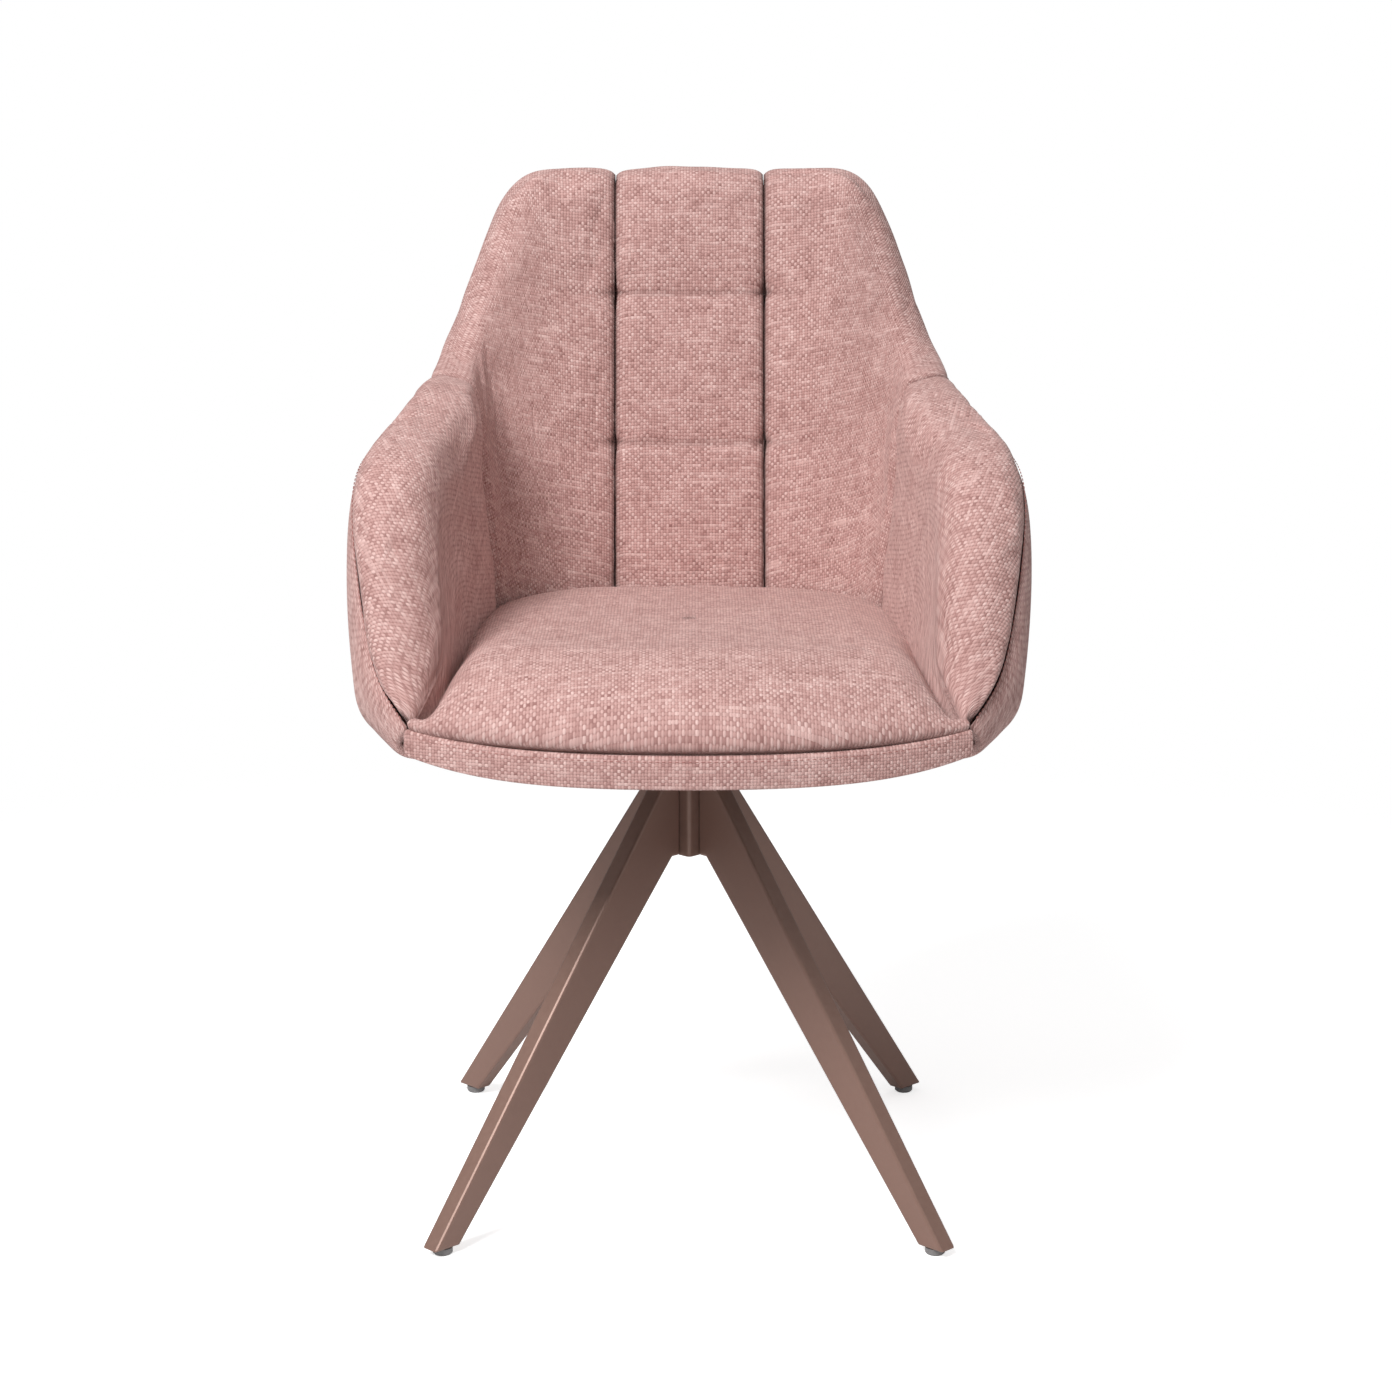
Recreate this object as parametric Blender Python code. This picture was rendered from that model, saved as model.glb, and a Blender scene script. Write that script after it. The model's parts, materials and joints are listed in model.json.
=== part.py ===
"""Upholstered bucket armchair on a four-legged steel base, with a ball-bearing swivel.

Units are metres, +Z is up and the chair faces -Y.  The origin is on the floor, on the swivel
axis.  Everything below the ball cage stands still, and everything above it turns with the seat.
"""

import math

import bmesh
import bpy
import numpy as np
from mathutils import Matrix, Vector

# ---------------------------------------------------------------- driving dimensions
CHAIR_HALF_WIDTH = 0.2815  # arm seam at the widest point of the arms, from the centre
BACK_REACH = 0.2800  # back seam at the top, behind the swivel axis
FRONT_REACH = 0.2884  # front border at the centre, ahead of the swivel axis
BACK_SEAM_Z = 0.8680  # seam along the top of the back
ARM_SEAM_Z = 0.6600  # seam on the arm, half way along
UNDERSIDE_Z = 0.4205  # lowest line of the upholstery
SEAT_CROWN_Z = 0.5120  # highest point of the seat cushion

FOOT_REACH = 0.3090  # outer end of a leg from the axis, along its diagonal
LEG_WIDTH = 0.0180
LEG_FOOT_DEPTH = 0.0270  # level length of the cut at the floor end
LEG_WALL = 0.0016
LEG_EDGE_RADIUS = 0.0022
COLUMN_SIDE = 0.0400
COLUMN_WALL = 0.0022
COLUMN_BOTTOM_Z = 0.2970
COLUMN_TOP_Z = 0.3950
COLUMN_CORNER_RADIUS = 0.0035
GLIDE_RADIUS = 0.0085
GLIDE_HEIGHT = 0.0062
GLIDE_SETBACK = 0.0020  # from the middle of the foot cut, towards the axis
GLIDE_STEM_RADIUS = 0.0032
GLIDE_STEM_LENGTH = 0.0090

SPINDLE_RADIUS = 0.0100
RUNNING_CLEARANCE = 0.0003
JOIN_GAP = 0.0003  # left between pieces that touch
BALL_RADIUS = 0.0040
BALL_COUNT = 8
BALL_CIRCLE_RADIUS = 0.0235
RACE_THICKNESS = 0.0025
RACE_INNER_RADIUS = 0.0165
RACE_OUTER_RADIUS = 0.0300
BEARING_PLATE_THICKNESS = 0.0040
BUSH_LENGTH = 0.0200
BUSH_WALL = 0.0030
SLEEVE_WALL = 0.0025
PLATE_THICKNESS = 0.0040
PLATE_LENGTH = 0.1900
PLATE_WIDTH = 0.1500
BOLT_SPACING_X = 0.1600
BOLT_SPACING_Y = 0.1200
BOLT_RADIUS = 0.0030
BOLT_HEAD_RADIUS = 0.0058
BOLT_HEAD_HEIGHT = 0.0033
BOLT_CLEARANCE = 0.0004
BOARD_THICKNESS = 0.0120
TEE_NUT_FLANGE_RADIUS = 0.0100
TEE_NUT_FLANGE = 0.0012
TEE_NUT_BARREL_RADIUS = 0.0042
DUST_COVER_THICKNESS = 0.0010

RAIL_RADIUS = 0.0055
HOOP_RADIUS = 0.0055
STRAP_HEIGHT = 0.0400
STRAP_THICKNESS = 0.0020
STRAP_COUNT = 3
STRAP_GAP = 0.0020  # behind the pads
STAY_RADIUS = 0.0035
STAY_GAP = 0.0012  # between a strap and a stay, where the strap curves past it
STAY_STATION = 2.1

PANEL_SEAM_X = 0.0687  # the two upright seams of the back, from the centre
SKIN = 0.0070  # padded outer cover
BORDER_THICKNESS = 0.0090
BORDER_TOP_Z = 0.4490
BORDER_HALF_WIDTH = 0.2250  # upright corner seams of the front border, from the centre
BORDER_CORNER_SETBACK = 0.0470  # of the corner seams, behind the middle of the border
BORDER_TOP_LIFT = 0.0110  # rise of the border's top at the corners
BORDER_LOW_LIFT = 0.0180  # rise of the border's lower edge at the corners
ARM_PAD_END = 9.75  # station where an arm pad stops, just behind the border
CUSHION_INSET = 0.0120  # lower part of the cushion, behind the border
PAD_FOOT_THICKNESS = 0.0140
RIM_RISE = 0.0150  # how far a pad stands above its seam

# ---------------------------------------------------------------- derived heights
RACE_Z = COLUMN_TOP_Z + JOIN_GAP + BEARING_PLATE_THICKNESS + JOIN_GAP
BALL_Z = RACE_Z + RACE_THICKNESS + JOIN_GAP + BALL_RADIUS
UPPER_RACE_Z = BALL_Z + BALL_RADIUS + JOIN_GAP
PLATE_Z = UNDERSIDE_Z + 0.0032
BOARD_Z = PLATE_Z + PLATE_THICKNESS + JOIN_GAP
PAD_FOOT_Z = BOARD_Z + BOARD_THICKNESS + 0.0050
CUSHION_Z = BOARD_Z + BOARD_THICKNESS + JOIN_GAP
SKIN_FOOT_Z = UNDERSIDE_Z + 0.0080
LEG_CUT_Z = GLIDE_HEIGHT

CORNER_SEAM_Z = UNDERSIDE_Z + 0.0400
BACK_HEIGHT = BACK_SEAM_Z - ARM_SEAM_Z
ARM_HEIGHT = ARM_SEAM_Z - CORNER_SEAM_Z

FABRIC = ("woven_fabric", (0.56, 0.33, 0.30), 0.92, 0.0)
FOAM_FABRIC = ("outer_fabric", (0.54, 0.32, 0.29), 0.92, 0.0)
POWDER_COAT = ("powder_coat", (0.19, 0.115, 0.09), 0.42, 0.35)
BARE_STEEL = ("bare_steel", (0.45, 0.45, 0.46), 0.38, 1.0)
BALL_STEEL = ("ball_steel", (0.62, 0.62, 0.64), 0.15, 1.0)
NYLON = ("nylon", (0.78, 0.77, 0.72), 0.50, 0.0)
GLIDE_PLASTIC = ("glide_plastic", (0.42, 0.41, 0.41), 0.40, 0.0)
BLACK_PLASTIC = ("black_plastic", (0.03, 0.03, 0.03), 0.50, 0.0)
PLYWOOD = ("plywood", (0.62, 0.45, 0.28), 0.70, 0.0)
NON_WOVEN = ("non_woven", (0.02, 0.02, 0.02), 0.95, 0.0)
WEBBING = ("webbing", (0.10, 0.10, 0.11), 0.85, 0.0)


# ---------------------------------------------------------------- mesh helpers
def clear_scene():
    """Removes every object, so that only the chair is left."""
    for obj in list(bpy.data.objects):
        bpy.data.objects.remove(obj, do_unlink=True)


def material_of(spec):
    """The Principled material of a finish, made once."""
    name, colour, roughness, metallic = spec
    found = bpy.data.materials.get(name)
    if found:
        return found
    made = bpy.data.materials.new(name)
    made.use_nodes = True
    shader = made.node_tree.nodes["Principled BSDF"]
    shader.inputs["Base Color"].default_value = (*colour, 1.0)
    shader.inputs["Roughness"].default_value = roughness
    shader.inputs["Metallic"].default_value = metallic
    made.diffuse_color = (*colour, 1.0)
    return made


def empty_at(name, location):
    """An empty that a group of pieces hangs on."""
    holder = bpy.data.objects.new(name, None)
    holder.location = location
    bpy.context.scene.collection.objects.link(holder)
    return holder


def object_from(name, bm, finish, parent=None, smooth=True):
    """A mesh object from a bmesh, with its faces turned outwards."""
    bmesh.ops.recalc_face_normals(bm, faces=bm.faces)
    mesh = bpy.data.meshes.new(name)
    bm.to_mesh(mesh)
    bm.free()
    mesh.materials.append(material_of(finish))
    obj = bpy.data.objects.new(name, mesh)
    bpy.context.scene.collection.objects.link(obj)
    if smooth:
        mesh.shade_smooth()
        mesh.set_sharp_from_angle(angle=math.radians(35))
    if parent:
        obj.parent = parent
        obj.matrix_parent_inverse = Matrix.Translation(-parent.location)
    return obj


def loft(sections, closed_path=False):
    """A closed body through loops of equal length, capped at both ends."""
    bm = bmesh.new()
    rings = [[bm.verts.new(Vector(p)) for p in section] for section in sections]
    count = len(rings[0])
    pairs = list(zip(rings, rings[1:]))
    if closed_path:
        pairs.append((rings[-1], rings[0]))
    for low, high in pairs:
        for i in range(count):
            j = (i + 1) % count
            bm.faces.new((low[i], low[j], high[j], high[i]))
    if not closed_path:
        bm.faces.new(rings[0][::-1])
        bm.faces.new(rings[-1])
    return bm


def prism(outline, z_low, z_high):
    """An outline in plan, raised from one height to another."""
    return loft([[(x, y, z) for x, y in outline] for z in (z_low, z_high)])


def lathe(profile, segments=32):
    """A closed (radius, height) profile turned about Z.  A radius of zero is a pole."""
    bm = bmesh.new()
    rings = []
    for radius, height in profile:
        if radius == 0:
            rings.append([bm.verts.new((0, 0, height))])
            continue
        turn = [2 * math.pi * i / segments for i in range(segments)]
        rings.append([bm.verts.new((radius * math.cos(a), radius * math.sin(a), height)) for a in turn])
    for a, b in zip(rings, rings[1:] + rings[:1]):
        if len(a) == len(b) == 1:
            continue
        for i in range(segments):
            j = (i + 1) % segments
            corners = [a[i % len(a)], a[j % len(a)], b[j % len(b)], b[i % len(b)]]
            unique = list(dict.fromkeys(corners))
            bm.faces.new(unique)
    return bm


def rounded_square(side, radius, steps=4, turn=0.0):
    """Outline of a square with round corners, turned about its centre."""
    points = []
    reach = side / 2 - radius
    for corner in range(4):
        start = corner * math.pi / 2
        cx = reach * math.copysign(1, math.cos(start + math.pi / 4))
        cy = reach * math.copysign(1, math.sin(start + math.pi / 4))
        for step in range(steps + 1):
            a = start + step * math.pi / 2 / steps
            points.append((cx + radius * math.cos(a), cy + radius * math.sin(a)))
    c, s = math.cos(turn), math.sin(turn)
    return [(x * c - y * s, x * s + y * c) for x, y in points]


def rounded_rectangle(length, width, radius, steps=5):
    """Outline of a rectangle with round corners, centred on the origin."""
    points = []
    for corner, (sx, sy) in enumerate(((1, 1), (-1, 1), (-1, -1), (1, -1))):
        cx, cy = sx * (length / 2 - radius), sy * (width / 2 - radius)
        for step in range(steps + 1):
            a = corner * math.pi / 2 + step * math.pi / 2 / steps
            points.append((cx + radius * math.cos(a), cy + radius * math.sin(a)))
    return points


def cutter(name, bm):
    """A helper body that only cuts, and isn't part of the chair."""
    obj = object_from(name, bm, BARE_STEEL, smooth=False)
    obj.hide_render = True
    obj.display_type = "WIRE"
    return obj


def cut(target, tool):
    """Takes a cutter's shape out of a piece."""
    modifier = target.modifiers.new(f"cut_{tool.name}", "BOOLEAN")
    modifier.operation = "DIFFERENCE"
    modifier.solver = "EXACT"
    modifier.object = tool


def rod(name, points, radius, finish, parent, sides=2):
    """A round bar along a line of points, with closed ends."""
    curve = bpy.data.curves.new(name, "CURVE")
    curve.dimensions = "3D"
    curve.bevel_depth = radius
    curve.bevel_resolution = sides
    curve.use_fill_caps = True
    spline = curve.splines.new("POLY")
    spline.points.add(len(points) - 1)
    for point, place in zip(spline.points, points):
        point.co = (*place, 1.0)
    curve.materials.append(material_of(finish))
    obj = bpy.data.objects.new(name, curve)
    bpy.context.scene.collection.objects.link(obj)
    obj.parent = parent
    obj.matrix_parent_inverse = Matrix.Translation(-parent.location)
    return obj


# ---------------------------------------------------------------- base
def leg_profile(inset=0.0):
    """A leg in its upright plane, as (distance from the axis, height), inset by a wall."""
    column_face = COLUMN_SIDE / 2 + JOIN_GAP
    top = (column_face, COLUMN_TOP_Z - 0.0050)
    armpit = (column_face + 0.0090, COLUMN_BOTTOM_Z)
    foot_out = (FOOT_REACH, LEG_CUT_Z)
    foot_in = (FOOT_REACH - LEG_FOOT_DEPTH, LEG_CUT_Z)
    corners = [foot_out, top, (column_face, COLUMN_BOTTOM_Z), armpit, foot_in]
    if not inset:
        return corners
    return inset_polygon(corners, inset)


def inset_polygon(corners, distance):
    """Moves each side of a counter-clockwise polygon inwards by a distance."""
    moved = []
    count = len(corners)
    for i in range(count):
        before, here, after = (Vector(corners[(i + k) % count]) for k in (-1, 0, 1))
        first = (here - before).normalized()
        second = (after - here).normalized()
        normal_a = Vector((-first.y, first.x))
        normal_b = Vector((-second.y, second.x))
        bisector = (normal_a + normal_b).normalized()
        moved.append(tuple(here + bisector * distance / max(bisector.dot(normal_a), 0.2)))
    return moved


def upright_slab(profile, width):
    """A (reach, height) profile made as thick as a width, centred on the XZ plane."""
    return loft([[(r, side * width / 2, z) for r, z in profile] for side in (-1, 1)])


def build_legs(base):
    """Four tapered box-section legs, their hollows open towards the column."""
    names = ("leg_front_left", "leg_front_right", "leg_rear_right", "leg_rear_left")
    for name, degrees in zip(names, (225, 315, 45, 135)):
        turn = Matrix.Rotation(math.radians(degrees), 4, "Z")
        leg = object_from(name, upright_slab(leg_profile(), LEG_WIDTH), POWDER_COAT, base)
        leg.rotation_euler = turn.to_euler()
        bevel = leg.modifiers.new("edge_radius", "BEVEL")
        bevel.width = LEG_EDGE_RADIUS
        bevel.segments = 2
        bevel.limit_method = "ANGLE"
        bevel.angle_limit = math.radians(50)
        hollow = inset_polygon(leg_profile(), LEG_WALL)
        throat = COLUMN_SIDE / 4
        hollow[1] = (throat, hollow[1][1])
        hollow[2] = (throat, hollow[2][1])
        inside = cutter(f"{name}_hollow", upright_slab(hollow, LEG_WIDTH - 2 * LEG_WALL))
        inside.rotation_euler = turn.to_euler()
        cut(leg, inside)
        bore = disc(GLIDE_STEM_RADIUS + BOLT_CLEARANCE, 0, 3 * LEG_CUT_Z)
        stem_hole = cutter(f"{name}_stem_hole", lathe(bore, 20))
        stem_hole.location = turn @ Vector((glide_reach(), 0, 0))
        cut(leg, stem_hole)


def glide_reach():
    """Distance of a glide from the axis, along its diagonal."""
    return FOOT_REACH - LEG_FOOT_DEPTH / 2 - GLIDE_SETBACK


def disc(radius, low, high):
    """Profile of a plain cylinder."""
    return [(0, low), (radius, low), (radius, high), (0, high)]


def tube(inner, outer, low, high):
    """Profile of a plain ring."""
    return [(inner, low), (outer, low), (outer, high), (inner, high)]


def build_glides(base):
    """A round plastic glide under each leg, with its stem up inside."""
    top = LEG_CUT_Z - JOIN_GAP
    stem_top = top + GLIDE_STEM_LENGTH
    chamfer = 0.0014
    profile = [
        (0, 0),
        (GLIDE_RADIUS - chamfer, 0),
        (GLIDE_RADIUS, chamfer),
        (GLIDE_RADIUS, top),
        (GLIDE_STEM_RADIUS, top),
        (GLIDE_STEM_RADIUS, stem_top),
        (0, stem_top),
    ]
    names = ("glide_front_left", "glide_front_right", "glide_rear_right", "glide_rear_left")
    for name, degrees in zip(names, (225, 315, 45, 135)):
        glide = object_from(name, lathe(profile, 20), GLIDE_PLASTIC, base)
        glide.location = Matrix.Rotation(math.radians(degrees), 4, "Z") @ Vector((glide_reach(), 0, 0))


def build_column(base):
    """The square column that the legs are welded to, with its bearing plate, sleeve and bushes."""
    quarter = math.pi / 4
    outline = rounded_square(COLUMN_SIDE, COLUMN_CORNER_RADIUS, turn=quarter)
    column = object_from("column_tube", prism(outline, COLUMN_BOTTOM_Z, COLUMN_TOP_Z), POWDER_COAT, base)
    inner_side = COLUMN_SIDE - 2 * COLUMN_WALL
    bore = rounded_square(inner_side, COLUMN_CORNER_RADIUS - 0.0015, turn=quarter)
    cut(column, cutter("column_bore", prism(bore, COLUMN_BOTTOM_Z - 0.01, COLUMN_TOP_Z + 0.01)))

    sleeve_outer = inner_side / 2 - JOIN_GAP
    sleeve_inner = sleeve_outer - SLEEVE_WALL
    sleeve_low = COLUMN_BOTTOM_Z + 0.0160
    plate_low = COLUMN_TOP_Z + JOIN_GAP
    plate = tube(sleeve_inner, RACE_OUTER_RADIUS + 0.0030, plate_low, plate_low + BEARING_PLATE_THICKNESS)
    object_from("bearing_plate", lathe(plate), POWDER_COAT, base)
    sleeve = tube(sleeve_inner, sleeve_outer, sleeve_low, COLUMN_TOP_Z)
    object_from("bearing_sleeve", lathe(sleeve), BARE_STEEL, base)

    bush_outer = sleeve_inner - JOIN_GAP
    bush_inner = SPINDLE_RADIUS + RUNNING_CLEARANCE
    for name, low in (("lower_bush", sleeve_low), ("upper_bush", COLUMN_TOP_Z - BUSH_LENGTH)):
        object_from(name, lathe(tube(bush_inner, bush_outer, low, low + BUSH_LENGTH)), NYLON, base)

    plug_side = inner_side - 2 * JOIN_GAP
    plug = rounded_square(plug_side, COLUMN_CORNER_RADIUS - 0.0018, turn=quarter)
    plug_top = COLUMN_BOTTOM_Z + 0.0050
    object_from("column_plug", prism(plug, COLUMN_BOTTOM_Z + 0.0008, plug_top), BLACK_PLASTIC, base)
    race = tube(RACE_INNER_RADIUS, RACE_OUTER_RADIUS, RACE_Z, RACE_Z + RACE_THICKNESS)
    object_from("lower_race", lathe(race), BARE_STEEL, base)


# ---------------------------------------------------------------- bearing and swivel
def build_ball_cage(cage):
    """The nylon cage between the races, and its balls."""
    half = BALL_RADIUS * 0.55
    ring = tube(RACE_INNER_RADIUS + 0.0010, RACE_OUTER_RADIUS - 0.0010, BALL_Z - half, BALL_Z + half)
    body = object_from("ball_cage", lathe(ring), NYLON, cage)
    for i in range(BALL_COUNT):
        angle = 2 * math.pi * i / BALL_COUNT
        place = Vector((BALL_CIRCLE_RADIUS * math.cos(angle), BALL_CIRCLE_RADIUS * math.sin(angle), BALL_Z))
        pocket_profile = disc(BALL_RADIUS + JOIN_GAP, -2 * half, 2 * half)
        pocket = cutter(f"ball_pocket_{i + 1}", lathe(pocket_profile, 16))
        pocket.location = place
        pocket.rotation_euler = (0, 0, angle + 0.1)
        cut(body, pocket)
        bm = bmesh.new()
        bmesh.ops.create_icosphere(bm, subdivisions=2, radius=BALL_RADIUS)
        ball = object_from(f"bearing_ball_{i + 1}", bm, BALL_STEEL, cage)
        ball.location = place


def bolt_places():
    """The four bolt positions in plan."""
    return [(x * BOLT_SPACING_X / 2, y * BOLT_SPACING_Y / 2) for x in (-1, 1) for y in (-1, 1)]


def build_swivel(seat):
    """The spindle, its retainers, the plate that carries the seat, and the upper race."""
    race_top = UPPER_RACE_Z + RACE_THICKNESS
    race = tube(RACE_INNER_RADIUS, RACE_OUTER_RADIUS, UPPER_RACE_Z, race_top)
    object_from("upper_race", lathe(race), BARE_STEEL, seat)

    sleeve_low = COLUMN_BOTTOM_Z + 0.0160
    washer_top = sleeve_low - JOIN_GAP
    washer_low = washer_top - 0.0015
    clip_top = washer_low - JOIN_GAP
    clip_low = clip_top - 0.0012
    groove = SPINDLE_RADIUS - 0.0010
    spindle_low = clip_low - 0.0020
    head_low = race_top + JOIN_GAP
    head_top = PLATE_Z - JOIN_GAP
    spindle = [
        (0, spindle_low),
        (SPINDLE_RADIUS, spindle_low),
        (SPINDLE_RADIUS, clip_low - JOIN_GAP / 2),
        (groove, clip_low - JOIN_GAP / 2),
        (groove, clip_top + JOIN_GAP / 2),
        (SPINDLE_RADIUS, clip_top + JOIN_GAP / 2),
        (SPINDLE_RADIUS, head_low),
        (RACE_OUTER_RADIUS, head_low),
        (RACE_OUTER_RADIUS, head_top),
        (0, head_top),
    ]
    object_from("swivel_spindle", lathe(spindle), BARE_STEEL, seat)
    washer = tube(SPINDLE_RADIUS + RUNNING_CLEARANCE, SPINDLE_RADIUS + 0.0045, washer_low, washer_top)
    object_from("spindle_washer", lathe(washer, 24), BARE_STEEL, seat)
    clip_inner = groove + JOIN_GAP
    clip_ring = tube(clip_inner, SPINDLE_RADIUS + 0.0025, clip_low, clip_top)
    clip = object_from("retaining_clip", lathe(clip_ring, 24), BARE_STEEL, seat)
    mouth = [(0, -0.0040), (0.05, -0.0040), (0.05, 0.0040), (0, 0.0040)]
    cut(clip, cutter("clip_mouth", prism(mouth, clip_low - 0.01, clip_top + 0.01)))

    outline = rounded_rectangle(PLATE_LENGTH, PLATE_WIDTH, 0.0180)
    slab = prism(outline, PLATE_Z, PLATE_Z + PLATE_THICKNESS)
    plate = object_from("swivel_plate", slab, POWDER_COAT, seat)
    bore = disc(BOLT_RADIUS + BOLT_CLEARANCE, PLATE_Z - 0.01, PLATE_Z + 0.01)
    for i, (x, y) in enumerate(bolt_places()):
        hole = cutter(f"plate_hole_{i + 1}", lathe(bore, 16))
        hole.location = (x, y, 0)
        cut(plate, hole)
        build_bolt(f"seat_bolt_{i + 1}", (x, y), seat)
        build_tee_nut(f"tee_nut_{i + 1}", (x, y), seat)


def build_bolt(name, place, seat):
    """A button-head bolt up through the plate, with a hexagon socket."""
    head_top = PLATE_Z - JOIN_GAP
    head_low = head_top - BOLT_HEAD_HEIGHT
    tip = BOARD_Z + BOARD_THICKNESS - 0.0010
    profile = [
        (0, head_low),
        (BOLT_HEAD_RADIUS * 0.62, head_low),
        (BOLT_HEAD_RADIUS, head_low + BOLT_HEAD_HEIGHT * 0.55),
        (BOLT_HEAD_RADIUS, head_top),
        (BOLT_RADIUS, head_top),
        (BOLT_RADIUS, tip),
        (0, tip),
    ]
    bolt = object_from(name, lathe(profile, 16), BARE_STEEL, seat)
    bolt.location = (*place, 0)
    hexagon = disc(BOLT_RADIUS * 0.75, head_low - 0.01, head_low + 0.0018)
    socket = cutter(f"{name}_socket", lathe(hexagon, 6))
    socket.location = (*place, 0)
    cut(bolt, socket)


def build_tee_nut(name, place, seat):
    """A tee nut: a flange on top of the board and a barrel down in it."""
    top = BOARD_Z + BOARD_THICKNESS
    bore = BOLT_RADIUS + JOIN_GAP
    low = BOARD_Z + 0.0030
    flange_low = top - TEE_NUT_FLANGE - JOIN_GAP
    flange_top = top - JOIN_GAP
    profile = [
        (bore, low),
        (TEE_NUT_BARREL_RADIUS, low),
        (TEE_NUT_BARREL_RADIUS, flange_low),
        (TEE_NUT_FLANGE_RADIUS, flange_low),
        (TEE_NUT_FLANGE_RADIUS, flange_top),
        (bore, flange_top),
    ]
    nut = object_from(name, lathe(profile, 16), BARE_STEEL, seat)
    nut.location = (*place, 0)


# ---------------------------------------------------------------- shape of the bucket
def bucket_stations():
    """Stations of the bucket wall, from the middle of the back to the right front corner.

    Each row is: seam point (x, y, z), foot of the inner face (x, y), foot of the outer face
    (x, y), and thickness of the pad at the rim.  The seam is where the inner pads and the outer
    cover are sewn together.
    """
    w, b = CHAIR_HALF_WIDTH, BACK_REACH
    arm_z, corner_z, top_z = ARM_SEAM_Z, CORNER_SEAM_Z, BACK_SEAM_Z
    return [
        ((0.0000, b, top_z), (0.000, 0.165), (0.000, 0.172), 0.044),
        ((w - 0.1685, b - 0.003, top_z - 0.001), (0.045, 0.162), (0.045, 0.170), 0.044),
        ((w - 0.1175, b - 0.014, top_z - 0.019), (0.085, 0.155), (0.088, 0.164), 0.044),
        ((w - 0.0775, b - 0.044, top_z - BACK_HEIGHT * 0.53), (0.125, 0.141), (0.132, 0.152), 0.046),
        ((w - 0.0470, b - 0.106, arm_z + BACK_HEIGHT * 0.19), (0.160, 0.113), (0.168, 0.124), 0.048),
        ((w - 0.0345, b - 0.205, arm_z + BACK_HEIGHT * 0.10), (0.178, 0.060), (0.188, 0.066), 0.052),
        ((w - 0.0135, b - 0.290, arm_z), (0.190, -0.012), (0.198, -0.010), 0.058),
        ((w, b - 0.385, arm_z - ARM_HEIGHT * 0.17), (0.199, -0.105), (0.205, -0.100), 0.060),
        ((w - 0.0145, b - 0.446, corner_z + ARM_HEIGHT * 0.34), (0.204, -0.165), (0.213, -0.153), 0.050),
        ((w - 0.0315, b - 0.478, corner_z + ARM_HEIGHT * 0.11), (0.208, -0.206), (0.218, -0.190), 0.030),
        ((w - 0.0530, b - 0.512, corner_z), (0.214, -0.231), (0.2195, -0.218), 0.013),
    ]


def natural_spline(values, at):
    """A natural cubic spline through values at 0, 1, 2 and so on, read at the places asked for."""
    values = np.asarray(values, float)
    count = len(values)
    matrix = np.zeros((count, count))
    right = np.zeros_like(values)
    matrix[0, 0] = matrix[-1, -1] = 1.0
    for i in range(1, count - 1):
        matrix[i, i - 1 : i + 2] = (1.0, 4.0, 1.0)
        right[i] = 6.0 * (values[i - 1] - 2.0 * values[i] + values[i + 1])
    second = np.linalg.solve(matrix, right)
    at = np.clip(np.asarray(at, float), 0.0, count - 1.0)
    low = np.minimum(at.astype(int), count - 2)
    b = (at - low)[:, None]
    a = 1.0 - b
    curve = ((a**3 - a) * second[low] + (b**3 - b) * second[low + 1]) / 6.0
    return a * values[low] + b * values[low + 1] + curve


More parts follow.
